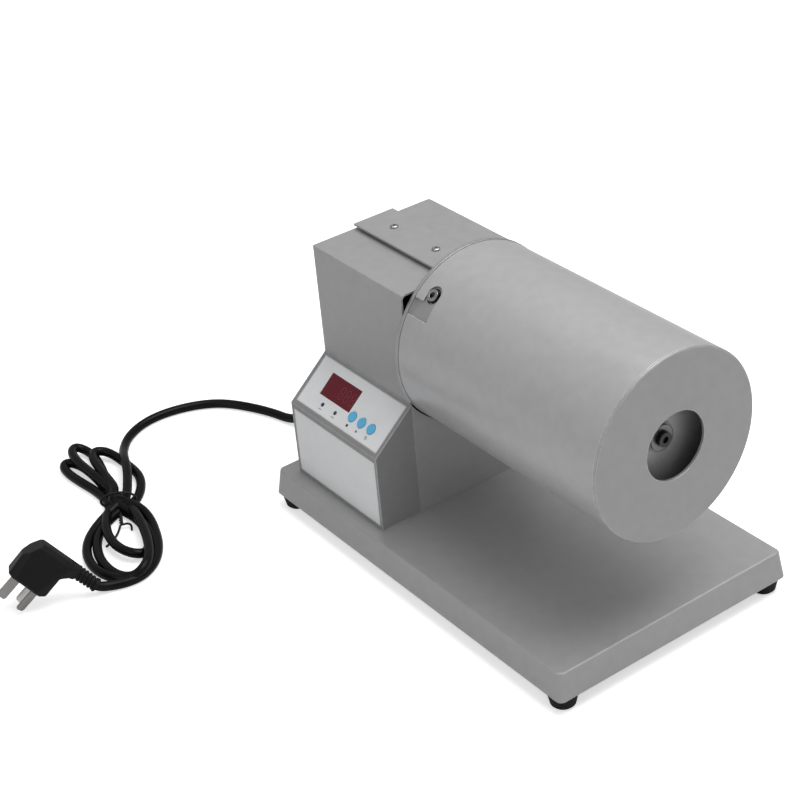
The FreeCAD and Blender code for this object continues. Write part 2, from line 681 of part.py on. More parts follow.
for name, x in zip(button_names, button_places):
    button = new_body(name)
    cap = slope_sketch(button, name + "_cap", button_shelf)
    circle(cap, x, s.button_start, s.button_radius)
    cap_pad = pad(button, cap, s.button_rise - button_shelf)
    collar = slope_sketch(button, name + "_collar", button_shelf - 1.0)
    circle(collar, x, s.button_start, button_flange)
    pad(button, collar, as_size(1.0))
    stem = slope_sketch(button, name + "_stem", button_foot)
    circle(stem, x, s.button_start, 1.6)
    pad(button, stem, button_shelf - button_foot)
    switch_case = slope_slab(name + "_switch", board_face, board_face + 3.6, x - 3,
                             s.button_start - 3, as_size(6), as_size(6))
    plunger = slope_rod(name + "_plunger", as_size(1.7), board_face + 3.6,
                        button_foot - s.button_travel - 0.1, x, s.button_start)
    switches.append(fuse(name + "_switch_whole", switch_case, plunger))
button_switches = group("button_switches", *switches)

# Drive plate: a folded plate on the base that carries the bearing tube and the motor

plate_front = s.axis_y - s.plate_width * 0.5
plate_web = block("plate_web", (plate_left, plate_front, base_top),
                  (s.plate_sheet, s.plate_width, s.plate_top))
plate_foot = block("plate_foot", (plate_left, plate_front, base_top),
                   (s.plate_foot, s.plate_width, s.plate_sheet))
spindle_window = rod("spindle_window", s.spindle_radius + 2, s.plate_sheet * 3,
                     (plate_left - s.plate_sheet, s.axis_y, axis_z))
boss_window = rod("boss_window", s.boss_radius + 0.5, s.plate_sheet * 3,
                  (plate_left - s.plate_sheet, s.axis_y, pinion_z))
plate_screw_x = plate_right + (s.plate_foot - s.plate_sheet) * 0.5
plate_screw_y = [s.axis_y - s.plate_width * 0.4, s.axis_y + s.plate_width * 0.4]
plate_holes = [rod("plate_hole_%d" % number, s.m5_hole, s.plate_sheet * 3,
                   (plate_screw_x, y, base_top - s.plate_sheet), "Z")
               for number, y in enumerate(plate_screw_y)]
tube_bolt_radius = (s.tube_radius + s.tube_flange_radius) * 0.5
tube_bolt_spots = [around_axis(45 + 90 * number, 1.0) for number in range(4)]


def around_drum(radius, spot):
    """Y and Z of a bolt on a circle round the drum axis."""
    return s.axis_y + radius * spot[0], axis_z + radius * spot[1]


bolt_holes = [rod("plate_bolt_hole_%d" % number, s.m5_hole, s.plate_sheet * 3,
                  (plate_left - s.plate_sheet, *around_drum(tube_bolt_radius, spot)))
              for number, spot in enumerate(tube_bolt_spots)]
motor_bolt_spots = [(-0.75, -0.3), (0.75, -0.3)]
motor_bolts_at = [(s.axis_y + s.motor_radius * across, motor_z + s.motor_radius * up)
                  for across, up in motor_bolt_spots]
motor_holes = [rod("motor_hole_%d" % number, s.m4_hole, s.plate_sheet * 3,
                   (plate_left - s.plate_sheet, *spot))
               for number, spot in enumerate(motor_bolts_at)]
drive_plate = cut("drive_plate", fuse("plate_blank", plate_web, plate_foot), spindle_window,
                  boss_window, *plate_holes, *bolt_holes, *motor_holes)
plate_screws = group("plate_screws", *[
    screw("plate_screw_%d" % number, "m5", s.plate_sheet + s.screw_reach,
          (plate_screw_x, y, base_top + s.plate_sheet), "Z", reverse=True)
    for number, y in enumerate(plate_screw_y)])

# Bearing tube with its two sealed bearings

bore = s.bearing_radius + s.close_fit
shoulder = s.bearing_radius - 3
front_seat = tube_end - s.bearing_width
rear_seat = plate_right + s.bearing_width
bearing_tube = turned("bearing_tube", [
    (plate_right, bore), (plate_right, s.tube_flange_radius),
    (plate_right + s.tube_flange_width, s.tube_flange_radius),
    (plate_right + s.tube_flange_width, s.tube_radius), (tube_end, s.tube_radius),
    (tube_end, bore), (front_seat, bore), (front_seat, shoulder),
    (rear_seat, shoulder), (rear_seat, bore)], s.axis_y, axis_z)
flange_bolt_holes = [rod("tube_bolt_hole_%d" % number, s.m5_hole, s.tube_flange_width * 3,
                         (plate_right - s.tube_flange_width,
                          *around_drum(tube_bolt_radius, spot)))
                     for number, spot in enumerate(tube_bolt_spots)]
bearing_housing = cut("bearing_housing", bearing_tube, *flange_bolt_holes)
housing_bolts = group("housing_bolts", *[
    screw("housing_bolt_%d" % number, "m5", s.tube_flange_width + s.plate_sheet,
          (plate_right + s.tube_flange_width, *around_drum(tube_bolt_radius, spot)), "X",
          reverse=True)
    for number, spot in enumerate(tube_bolt_spots)])


def outer_ring(name, start):
    """An outer bearing ring with its two side shields."""
    end = start + s.bearing_width
    shield = s.inner_ring_radius + s.shield_gap
    return turned(name, [
        (start, shield), (start, s.bearing_radius), (end, s.bearing_radius), (end, shield),
        (end - s.shield_width, shield), (end - s.shield_width, s.outer_ring_radius),
        (start + s.shield_width, s.outer_ring_radius), (start + s.shield_width, shield)],
        s.axis_y, axis_z)


def plain_ring(name, start, end, inner, outer):
    return turned(name, [(start, inner), (start, outer), (end, outer), (end, inner)],
                  s.axis_y, axis_z)


bearing_outer_rings = group("bearing_outer_rings", outer_ring("front_outer", front_seat),
                            outer_ring("rear_outer", plate_right))
ring_bore = s.spindle_radius + s.close_fit
bearing_inner_rings = group(
    "bearing_inner_rings",
    plain_ring("front_inner", front_seat, tube_end, ring_bore, s.inner_ring_radius),
    plain_ring("rear_inner", plate_right, rear_seat, ring_bore, s.inner_ring_radius))

# Hollow spindle, its bush, and the drive flange that the drum locks on to

nose_back = ring_back - s.nose_flange_width
bush_length = s.nose_flange_width + s.web_thickness
hollow_spindle = turned("hollow_spindle", [
    (spindle_left, s.spindle_bore), (spindle_left, s.spindle_radius),
    (nose_back, s.spindle_radius), (nose_back, s.nose_flange_radius),
    (ring_back, s.nose_flange_radius), (ring_back, s.pilot_radius),
    (ring_back + s.web_thickness, s.pilot_radius),
    (ring_back + s.web_thickness, s.spindle_bore + 2),
    (ring_back + s.web_thickness - bush_length, s.spindle_bore + 2),
    (ring_back + s.web_thickness - bush_length, s.spindle_bore)], s.axis_y, axis_z)
spindle_bush = plain_ring("spindle_bush", ring_back + s.web_thickness - bush_length,
                          ring_back + s.web_thickness, s.shaft_radius + s.close_fit,
                          s.spindle_bore + 2)
web_front = ring_back + s.web_thickness
spigot_inner = spigot_radius - s.spigot_wall
flange_turning = turned("flange_turning", [
    (ring_back, s.pilot_radius + s.close_fit), (ring_back, s.ring_radius),
    (ring_front, s.ring_radius), (ring_front, spigot_radius), (spigot_end - 1.0, spigot_radius),
    (spigot_end, spigot_radius - 1.0), (spigot_end, spigot_inner), (web_front, spigot_inner),
    (web_front, s.pilot_radius + s.close_fit)], s.axis_y, axis_z)
flange_bolt_circle = (s.pilot_radius + s.nose_flange_radius) * 0.5
flange_spots = [around_axis(30 + 90 * number, 1.0) for number in range(4)]
flange_holes = [rod("flange_hole_%d" % number, s.m4_hole, s.web_thickness * 3,
                    (ring_back - s.web_thickness, *around_drum(flange_bolt_circle, spot)))
                for number, spot in enumerate(flange_spots)]
flange_screws = group("flange_screws", *[
    screw("flange_screw_%d" % number, "m4", s.web_thickness,
          (web_front, *around_drum(flange_bolt_circle, spot)), "X", reverse=True)
    for number, spot in enumerate(flange_spots)])

bayonet_count = 3


def radial_rod(name, radius, low, high, x, angle, six_sided=False):
    """A round or six-sided bar that points outwards from the drum axis, between two radii."""
    bar = doc.addObject("Part::Prism" if six_sided else "Part::Cylinder", name)
    bind(bar, "Circumradius" if six_sided else "Radius", radius)
    bind(bar, "Height", as_size(high) - low)
    across, up = sine(angle - 90), cosine(angle - 90)
    place(bar, x, s.axis_y + low * across, axis_z + low * up,
          Rotation(Vector(1, 0, 0), 90 - angle.value))
    return bar


pockets = []
heads = []
for number in range(bayonet_count):
    angle = s.screw_angle + 360.0 * number / bayonet_count
    screw_x = seam + s.screw_axial
    pockets.append(radial_rod("screw_pocket_%d" % number, s.screw_pocket_radius,
                              screw_seat, s.drum_radius, screw_x, angle))
    pockets.append(radial_rod("screw_bore_%d" % number, s.m5_radius + s.close_fit,
                              spigot_inner - 2, s.drum_radius, screw_x, angle))
    head = radial_rod("bayonet_head_%d" % number, s.screw_head_radius, screw_seat,
                      screw_seat + s.screw_head_height, screw_x, angle)
    shank = radial_rod("bayonet_shank_%d" % number, s.m5_radius, spigot_inner, screw_seat,
                       screw_x, angle)
    socket = radial_rod("bayonet_socket_%d" % number, s.socket_radius,
                        screw_seat + s.screw_head_height * 0.3,
                        screw_seat + s.screw_head_height + 1, screw_x, angle, six_sided=True)
    heads.append(cut("bayonet_screw_%d" % number,
                     fuse("bayonet_solid_%d" % number, head, shank), socket))
drive_flange = cut("drive_flange", flange_turning, *flange_holes, *pockets)
bayonet_screws = group("bayonet_screws", *heads)

# Spur gears


def involute(angle):
    return math.tan(angle) - angle


def gear_wire(module, teeth, backlash, phase):
    """Outline of a spur gear with 20 degree involute flanks, as one closed wire."""
    pressure = math.radians(20)
    pitch = module * teeth / 2
    base = pitch * math.cos(pressure)
    tip = pitch + module
    root = pitch - 1.25 * module
    half_tooth = math.pi / (2 * teeth) - backlash / (2 * pitch)

    def flank_angle(radius):
        if radius <= base:
            return half_tooth + involute(pressure)
        return half_tooth + involute(pressure) - involute(math.acos(base / radius))

    def at(radius, angle):
        return Vector(0, radius * math.cos(angle), radius * math.sin(angle))

    low = max(root, base)
    middle = (low + tip) / 2
    edges = []
    for number in range(int(teeth)):
        centre = phase + 2 * math.pi * number / teeth
        next_start = centre + 2 * math.pi / teeth - flank_angle(low)
        rising = [at(low, centre - flank_angle(low)), at(middle, centre - flank_angle(middle)),
                  at(tip, centre - flank_angle(tip))]
        falling = [at(tip, centre + flank_angle(tip)), at(middle, centre + flank_angle(middle)),
                   at(low, centre + flank_angle(low))]
        edges.append(Part.Arc(*rising).toShape())
        edges.append(Part.Arc(rising[2], at(tip, centre), falling[0]).toShape())
        edges.append(Part.Arc(*falling).toShape())
        bottom = [at(root, centre + flank_angle(low)), at(root, next_start)]
        if root < low:
            edges.append(Part.makeLine(falling[2], bottom[0]))
        valley = at(root, centre + math.pi / teeth)
        edges.append(Part.Arc(bottom[0], valley, bottom[1]).toShape())
        if root < low:
            edges.append(Part.makeLine(bottom[1], at(low, next_start)))
    return Part.Wire(edges)


def spur_gear(name, teeth, bore_radius, hub_radius, hub_length, centre_z, phase):
    """A spur gear with a hub on its left side, bored for its shaft."""
    face = Part.Face(gear_wire(s.gear_module.value, teeth.value, s.gear_backlash.value, phase))
    solid = face.extrude(Vector(s.gear_width.value, 0, 0))
    solid = solid.fuse(Part.makeCylinder(hub_radius, hub_length, Vector(-hub_length, 0, 0),
                                         Vector(1, 0, 0)))
    hole = Part.makeCylinder(bore_radius, 100, Vector(-50, 0, 0), Vector(1, 0, 0))
    gear = doc.addObject("Part::Feature", name)
    gear.Shape = solid.cut(hole).removeSplitter()
    return place(gear, gear_left, s.axis_y, centre_z)


tooth_down = -math.pi / 2
driven_gear = spur_gear("driven_gear", s.gear_teeth, ring_bore.value, s.hub_radius.value,
                        s.hub_width.value, axis_z, tooth_down + math.pi / s.gear_teeth.value)
pinion_gear = spur_gear("pinion_gear", s.pinion_teeth, (s.motor_shaft_radius + 0.05).value,
                        8.0, s.hub_width.value, pinion_z, math.pi / 2)

# Gear motor: can, gearbox with its offset boss, and output shaft

gearbox_left = plate_right
gearbox_case = rod("gearbox_case", s.motor_radius, s.gearbox_length,
                   (gearbox_left, s.axis_y, motor_z))
gearbox_boss = rod("gearbox_boss", s.boss_radius, s.plate_sheet,
                   (plate_left, s.axis_y, pinion_z))
shaft_bore = rod("shaft_bore", s.motor_shaft_radius + s.close_fit,
                 s.plate_sheet + s.gearbox_length * 0.5,
                 (plate_left, s.axis_y, pinion_z))
motor_gearbox = cut("motor_gearbox", fuse("gearbox_solid", gearbox_case, gearbox_boss),
                    shaft_bore)
can_left = gearbox_left + s.gearbox_length
can_right = can_left + s.motor_length
can_radius = s.motor_radius - 1.5
motor_can = turned("motor_can", [
    (can_left, 0), (can_left, can_radius), (can_right - 2, can_radius),
    (can_right, can_radius - 2), (can_right, 0)], s.axis_y, motor_z)
motor_screws = group("motor_screws", *[
    screw("motor_screw_%d" % number, "m4", s.plate_sheet, (plate_left, *spot), "X")
    for number, spot in enumerate(motor_bolts_at)])
motor_shaft = rod("motor_shaft", s.motor_shaft_radius,
                  plate_right + s.gearbox_length * 0.4 - spindle_left,
                  (spindle_left, s.axis_y, pinion_z))

# Fixed trough shaft, its support on the base, and the trough

support_front = s.axis_y - s.support_width * 0.5
support_web = block("support_web", (support_left, support_front, base_top),
                    (s.support_sheet, s.support_width, s.axis_height + s.support_rise))
support_foot = block("support_foot", (support_left, support_front, base_top),
                     (s.support_foot, s.support_width, s.support_sheet))
support_hole = rod("support_hole", s.shaft_radius + s.close_fit, s.support_sheet * 3,
                   (support_left - s.support_sheet, s.axis_y, axis_z))
support_screw_x = support_left + s.support_foot * 0.6
support_screw_y = [s.axis_y - s.support_width * 0.35, s.axis_y + s.support_width * 0.35]
support_holes = [rod("support_screw_hole_%d" % number, s.m5_hole, s.support_sheet * 3,
                     (support_screw_x, y, base_top - s.support_sheet), "Z")
                 for number, y in enumerate(support_screw_y)]
shaft_support = cut("shaft_support", fuse("support_blank", support_web, support_foot),
                    support_hole, *support_holes)
support_screws = group("support_screws", *[
    screw("support_screw_%d" % number, "m5", s.support_sheet + s.screw_reach,
          (support_screw_x, y, base_top + s.support_sheet), "Z", reverse=True)
    for number, y in enumerate(support_screw_y)])
shaft_left = support_left - 1
shaft_bar = rod("shaft_bar", s.shaft_radius, shaft_end - shaft_left,
                (shaft_left, s.axis_y, axis_z))
shaft_tapping = rod("shaft_tapping", s.tapping_radius, s.tapping_depth + 1,
                    (shaft_end - s.tapping_depth, s.axis_y, axis_z))
trough_shaft = cut("trough_shaft", shaft_bar, shaft_tapping)
trough_outer = rod("trough_outer", s.trough_radius, trough_right - trough_left,
                   (trough_left, s.axis_y, axis_z))
trough_hollow = rod("trough_hollow", s.trough_radius - s.trough_sheet,
                    trough_right - trough_left - s.end_plate * 2,
                    (trough_left + s.end_plate, s.axis_y, axis_z))
trough_open = block("trough_open", (trough_left + s.end_plate, s.axis_y - s.trough_radius * 1.2,
                                    axis_z),
                    (trough_right - trough_left - s.end_plate * 2, s.trough_radius * 2.4,
                     s.trough_radius * 1.2))
trough_pan = cut("trough_pan", trough_outer, trough_hollow, trough_open)
near_hub = rod("near_hub", s.hub_sleeve_radius, s.hub_sleeve_length,
               (trough_left - 2, s.axis_y, axis_z))
far_hub = rod("far_hub", s.hub_sleeve_radius, s.hub_sleeve_length,
              (trough_right + 1 - s.hub_sleeve_length, s.axis_y, axis_z))
trough_bore = rod("trough_bore", s.shaft_radius + s.close_fit,
                  trough_right - trough_left + 10, (trough_left - 5, s.axis_y, axis_z))
trough = cut("trough", fuse("trough_welded", trough_pan, near_hub, far_hub), trough_bore)
washer_left = shaft_end
washer_disc = rod("washer_disc", s.washer_radius, s.washer_thickness,
                  (washer_left, s.axis_y, axis_z))
washer_hole = rod("washer_hole", s.tapping_radius + 0.1, s.washer_thickness * 3,
                  (washer_left - s.washer_thickness, s.axis_y, axis_z))
shaft_washer = cut("shaft_washer", washer_disc, washer_hole)
screw_face = washer_left + s.washer_thickness
screw_solid = screw("screw_solid", "m6", s.washer_thickness + s.tapping_depth - 1,
                    (screw_face, s.axis_y, axis_z), "X", reverse=True)
screw_socket = doc.addObject("Part::Prism", "trough_screw_socket")
bind(screw_socket, "Circumradius", s.socket_radius)
bind(screw_socket, "Height", s.m6_head_height)
place(screw_socket, screw_face + s.m6_head_height * 0.4, s.axis_y, axis_z, TURNS["X"])
trough_screw = cut("trough_screw", screw_solid, screw_socket)

# Drum: shell with bayonet slots, flanged end cap and indented sleeve

shell_body = plain_ring("shell_body", seam, drum_end - s.cap_thickness, shell_inner,
                        s.drum_radius)


def bayonet_slot(number):
    """One L slot: in from the rim, then round to a rounded seat."""
    half = s.slot_width.value / 2
    start = seam.value - 1
    leg_x = seam.value + s.slot_axial.value
    turn = 360.0 * number / bayonet_count
    seat = s.seat_angle.value + turn
    entry = s.entry_angle.value + turn
    inner, outer = shell_inner.value - 2, s.drum_radius.value + 2
    middle = (inner + outer) / 2
    reach = math.degrees(half / middle)
    seat_up = around_axis(seat, 1.0)
    seat_round = Part.makeCylinder(half, outer - inner,
                                   Vector(leg_x, seat_up[0] * inner, seat_up[1] * inner),
                                   Vector(0, *seat_up))

    def sector(left, right, low, high):
        """A piece of the shell's thickness between two angles."""
        corner = Vector(left, -inner, 0)
        section = Part.makePolygon([corner, Vector(right, -inner, 0), Vector(right, -outer, 0),
                                    Vector(left, -outer, 0), corner])
        section.rotate(Vector(), Vector(1, 0, 0), -low)
        return Part.Face(section).revolve(Vector(), Vector(-1, 0, 0), high - low)

    leg = sector(leg_x - half, leg_x + half, entry, seat)
    channel = sector(start, leg_x + half, entry - reach, entry + reach)
    return seat_round.fuse([leg, channel])


slots = doc.addObject("Part::Feature", "bayonet_slots")
slots.Shape = bayonet_slot(0).fuse([bayonet_slot(number) for number in range(1, bayonet_count)])
place(slots, 0, s.axis_y, axis_z)
drum_shell = cut("drum_shell", shell_body, slots)
cap_inner = shell_inner - s.close_fit
cap_sheet = s.cap_thickness
drum_cap = turned("drum_end_cap", [
    (drum_end, s.mouth_radius), (drum_end, s.drum_radius - s.cap_edge),
    (drum_end - s.cap_edge, s.drum_radius), (drum_end - cap_sheet, s.drum_radius),
    (drum_end - cap_sheet, cap_inner),
    (drum_end - s.cap_flange, cap_inner), (drum_end - s.cap_flange, cap_inner - s.shell_wall),
    (drum_end - cap_sheet, cap_inner - s.shell_wall), (drum_end - cap_sheet, s.mouth_radius)],
    s.axis_y, axis_z)
sleeve_left = spigot_end + 2
sleeve_right = drum_end - s.cap_flange - 0.3
indented_sleeve = plain_ring("indented_sleeve", sleeve_left, sleeve_right,
                             cap_inner - s.sleeve_wall, cap_inner)

# Base pan with the holes for every screw that goes through it

pan_screw_places = ([(plate_screw_x, y) for y in plate_screw_y]
                    + [(support_screw_x, y) for y in support_screw_y] + tab_screws_at)
pan_screw_holes = [rod("pan_screw_hole_%d" % number, s.m5_hole, s.base_sheet * 3,
                       (x, y, cavity_top - s.base_sheet), "Z")
                   for number, (x, y) in enumerate(pan_screw_places)]
base_pan = cut("base_pan", pan_smooth, pan_hollow_round, pan_opening, foot_holes,
               *pan_screw_holes)

# Mains lead: a tube of straight runs joined by tangent arcs


def rounded_path(points):
    """One wire through the points, with an arc at every inner point."""
    edges = []
    radii = []
    last = points[0]
    for before, corner, after in zip(points, points[1:], points[2:]):
        inward = corner - before
        outward = after - corner
        half_turn = inward.getAngle(outward) / 2
        trim = 0.45 * min(inward.Length, outward.Length)
        radii.append(trim / math.tan(half_turn))
        first = corner - inward.normalize() * trim
        final = corner + outward.normalize() * trim
        towards = (outward - inward).normalize()
        sag = radii[-1] / math.cos(half_turn) - radii[-1]
        edges.append(Part.makeLine(last, first))
        edges.append(Part.Arc(first, corner + towards * sag, final).toShape())
        last = final
    edges.append(Part.makeLine(last, points[-1]))
    return Part.Wire(edges), radii


def tube(name, points, radius):
    """A round cord along a route, with its bend radii printed."""
    path, radii = rounded_path([Vector(*point) for point in points])
    direction = path.Edges[0].tangentAt(path.Edges[0].FirstParameter)
    section = Part.Wire(Part.makeCircle(radius, Vector(*points[0]), direction))
    cord = doc.addObject("Part::Feature", name)
    cord.Shape = path.makePipeShell([section], True, False)
    print("%s: length %.0f mm, bend radii %s, volume ratio %.3f" % (
        name, path.Length, " ".join("%.0f" % bend for bend in radii),
        cord.Shape.Volume / (math.pi * radius ** 2 * path.Length)))
    return cord


lead_z = s.cord_radius.value
gland_start = (housing_left.value + wall.value + 2.3, s.gland_y.value, s.gland_z.value)
lead_route = [
    gland_start, (-187, s.gland_y.value, s.gland_z.value), (-207, -18.5, 37), (-225, -23.2, 13.5),
    (-244.2, -29, lead_z), (-265.7, -34.5, lead_z), (-287.8, -44.7, lead_z),
    (-304.6, -55.8, lead_z), (-315, -70, lead_z), (-321.5, -87, lead_z), (-324, -105, lead_z),
    (-321, -122, lead_z), (-312, -138, lead_z), (-298, -149.5, lead_z), (-283, -157, lead_z),
    (-270, -166, lead_z)]
power_cord = tube("power_cord", lead_route, s.cord_radius.value)
plug_at = Vector(-153.6, -252.2, 7.3)
tail_route = [tuple(plug_at), (-152.6, -250.9, 5.4), (-151.4, -249.1, 4.1),
              (-150.2, -247, lead_z), (-147.4, -241.5, lead_z), (-144.8, -233, lead_z),
              (-146.6, -222, lead_z), (-153, -212, lead_z)]
cord_tail = tube("cord_tail", tail_route, s.cord_radius.value)

# Gland in the housing wall, with its lock nut inside

gland_collar = housing_left - s.gland_collar_width
gland_tip = gland_collar - s.relief_length
thread_end = housing_left + wall + s.gland_nut_width
gland_bore = s.cord_radius + s.close_fit
thread_radius = s.relief_root_radius - s.close_fit
cord_gland = turned("cord_gland", [
    (thread_end, gland_bore), (thread_end, thread_radius), (housing_left, thread_radius),
    (housing_left, s.gland_collar_radius), (gland_collar + 1, s.gland_collar_radius),
    (gland_collar, s.gland_collar_radius - 1), (gland_collar, s.relief_root_radius),
    (gland_tip, s.relief_tip_radius), (gland_tip, gland_bore)], s.gland_y, s.gland_z)
nut_blank = doc.addObject("Part::Prism", "nut_blank")
nut_blank.Polygon = 6
bind(nut_blank, "Circumradius", s.gland_collar_radius)
bind(nut_blank, "Height", s.gland_nut_width)
place(nut_blank, housing_left + wall, s.gland_y, s.gland_z, TURNS["X"])
nut_bore = rod("nut_bore", s.relief_root_radius, s.gland_nut_width * 3,
               (housing_left, s.gland_y, s.gland_z))
gland_nut = cut("gland_nut", nut_blank, nut_bore)

# Tied hank of spare lead, as the outer shape of its turns


def hull_face(circles):
    """The flat outline of a band stretched round some circles (x, y, radius)."""
    points = []
    for x, y, radius in circles:
        for number in range(24):
            turn = math.radians(15 * number)
            points.append((x + radius * math.cos(turn), y + radius * math.sin(turn)))
    points.sort()

    def half(ordered):
        chain = []
        for point in ordered:
            while len(chain) > 1 and ((chain[-1][0] - chain[-2][0]) * (point[1] - chain[-2][1])
                                      <= (chain[-1][1] - chain[-2][1])
                                      * (point[0] - chain[-2][0])):
                chain.pop()
            chain.append(point)
        return chain[:-1]

    ring = half(points) + half(points[::-1])
    corners = [Vector(x, y, 0) for x, y in ring]
    return Part.Face(Part.makePolygon(corners + corners[:1]))


def hull_block(circles, low, height):
    block_shape = hull_face(circles).extrude(Vector(0, 0, height))
    block_shape.translate(Vector(0, 0, low))
    return block_shape


waist = (-234, -188.5, 12)
petals = [[waist, (-320, -180, 10.5), (-292, -171.5, 9)],
          [waist, (-303, -191, 9), (-320, -180, 10.5)],
          [waist, (-292, -171.5, 9), (-246, -170, 12)]]
hank_height = s.hank_height.value
hank_shape = hull_block([waist, (-174, -220, 30)], 0, hank_height)
for petal in petals:
    hank_shape = hank_shape.fuse(hull_block(petal, 0, hank_height))
eye = hull_block([(-177, -219, 14.5), (-217, -198, 4)], -1, hank_height + 2)
tie_along = Vector(127, -44, 0).normalize()
tie_across = Vector(44, 127, 0).normalize()
tie_centre = Vector(waist[0], waist[1], 0)


def waist_block(length, half_width, low, high):
    """A box across the waist of the hank."""
    corner = tie_centre - tie_along * (length / 2) - tie_across * half_width
    section = Part.Face(Part.makePolygon([
        corner, corner + tie_across * (half_width * 2),
        corner + tie_across * (half_width * 2) + Vector(0, 0, high - low),
        corner + Vector(0, 0, high - low), corner]))
    section.translate(Vector(0, 0, low))
    return section.extrude(tie_along * length)


tie_half = s.tie_half_width.value
tie_width = s.tie_width.value
tie_sheet = s.tie_sheet.value
tie_top = hank_height
groove = waist_block(tie_width + 0.6, 40, -1, hank_height + 1).cut(
    waist_block(tie_width + 2, tie_half, tie_sheet + 0.3, tie_top - tie_sheet - 0.1))
hank = doc.addObject("Part::Feature", "cord_hank")
hank.Shape = hank_shape.cut(eye).cut(groove).removeSplitter()
band = waist_block(tie_width, tie_half + tie_sheet, 0, tie_top).cut(
    waist_block(tie_width + 2, tie_half, tie_sheet, tie_top - tie_sheet))
tie = doc.addObject("Part::Feature", "cord_tie")
tie.Shape = band

# Right-angle plug, standing on the tips of its blades

plug_turn = 48
plug_heading = math.radians(53)
plug_roll = -17
along_floor = Vector(math.cos(plug_heading), math.sin(plug_heading), 0)
lead_way = (along_floor * math.cos(math.radians(plug_turn))
            - Vector(0, 0, math.sin(math.radians(plug_turn))))
level_way = (along_floor * -math.sin(math.radians(plug_turn))
             - Vector(0, 0, math.cos(math.radians(plug_turn))))
plug_place = Placement(plug_at, Rotation(lead_way, plug_roll) * Rotation(
    lead_way, level_way, lead_way.cross(level_way), "XYZ"))
plug_side = [(-17, -4), (-17, 5.2), (-20.5, 5.6), (-25.3, 9.2), (-25, 25), (-29.5, 27.3),
             (-55.3, 27.3), (-56.2, 11), (-49, -3.6)]
plug_end = [(-4, -4), (-1, -8), (25.5, -s.plug_half), (27.3, 2 - s.plug_half),
            (27.3, s.plug_half - 2), (25.5, s.plug_half), (-1, 8), (-4, 4)]
plug_plan = [(-16, -4.5), (-16, 4.5), (-32.5, s.plug_half), (-51, s.plug_half), (-57, 4),
             (-57, -4), (-51, -s.plug_half), (-32.5, -s.plug_half)]


def plug_view(name, plane, corners, start, length):
    """One view of the moulding, carried through the whole of it."""
    view = new_body(name)
    section = new_sketch(view, name + "_section", plane, (0, 0, start))
    outline(section, corners)
    pad(view, section, length)
    return view


plug = shared("plug_moulding",
              plug_view("plug_side", "XY_Plane", plug_side, -s.plug_half, s.plug_half * 2),
              plug_view("plug_end", "YZ_Plane", plug_end, as_size(-58), as_size(44)),
              plug_view("plug_plan", "XZ_Plane", plug_plan, as_size(-30), as_size(38)))
plug.Placement = plug_place
neck = Vector(-18, 0.4, 0)
relief_way = (Vector() - neck).normalize()
relief = doc.addObject("Part::Feature", "plug_relief")
relief_root = s.plug_neck_radius.value
relief.Shape = Part.makeCone(relief_root, s.plug_tip_radius.value, neck.Length + relief_root,
                             neck - relief_way * relief_root, relief_way)
relief.Placement = plug_place
plug_solid = fuse("plug_solid", plug, relief)

# Three flat blades: the earth blade, and a pair that slants towards it


def blade(name, along, sideways, width, slant, extra=0):
    """One flat blade with its tip edges taken back."""
    start = s.blade_root.value
    tip = s.blade_tip.value + extra
    half_width = width / 2
    half_thick = s.blade_thickness.value / 2
    corners = [Vector(-half_width, start, -half_thick), Vector(half_width, start, -half_thick),
               Vector(half_width, tip - 1.5, -half_thick), Vector(half_width - 1, tip, -half_thick),
               Vector(1 - half_width, tip, -half_thick),
               Vector(-half_width, tip - 1.5, -half_thick)]
    solid = Part.Face(Part.makePolygon(corners + corners[:1])).extrude(
        Vector(0, 0, half_thick * 2))
    solid.rotate(Vector(), Vector(0, 1, 0), slant)
    solid.translate(Vector(along, 0, sideways))
    part = doc.addObject("Part::Feature", name)
    part.Shape = solid
    part.Placement = plug_place * solid.Placement
    return part


pair_across = s.pair_blade_across.value
plug_pins = group(
    "plug_pins", blade("earth_blade", s.earth_blade_at.value, 0, s.earth_blade_width.value, 0,
                       s.earth_blade_extra.value),
    blade("live_blade", s.pair_blade_at.value, pair_across, s.pair_blade_width.value, 30),
    blade("neutral_blade", s.pair_blade_at.value, -pair_across, s.pair_blade_width.value, -30))
mains_plug = cut("mains_plug", plug_solid, plug_pins)

# Export: one file for each node

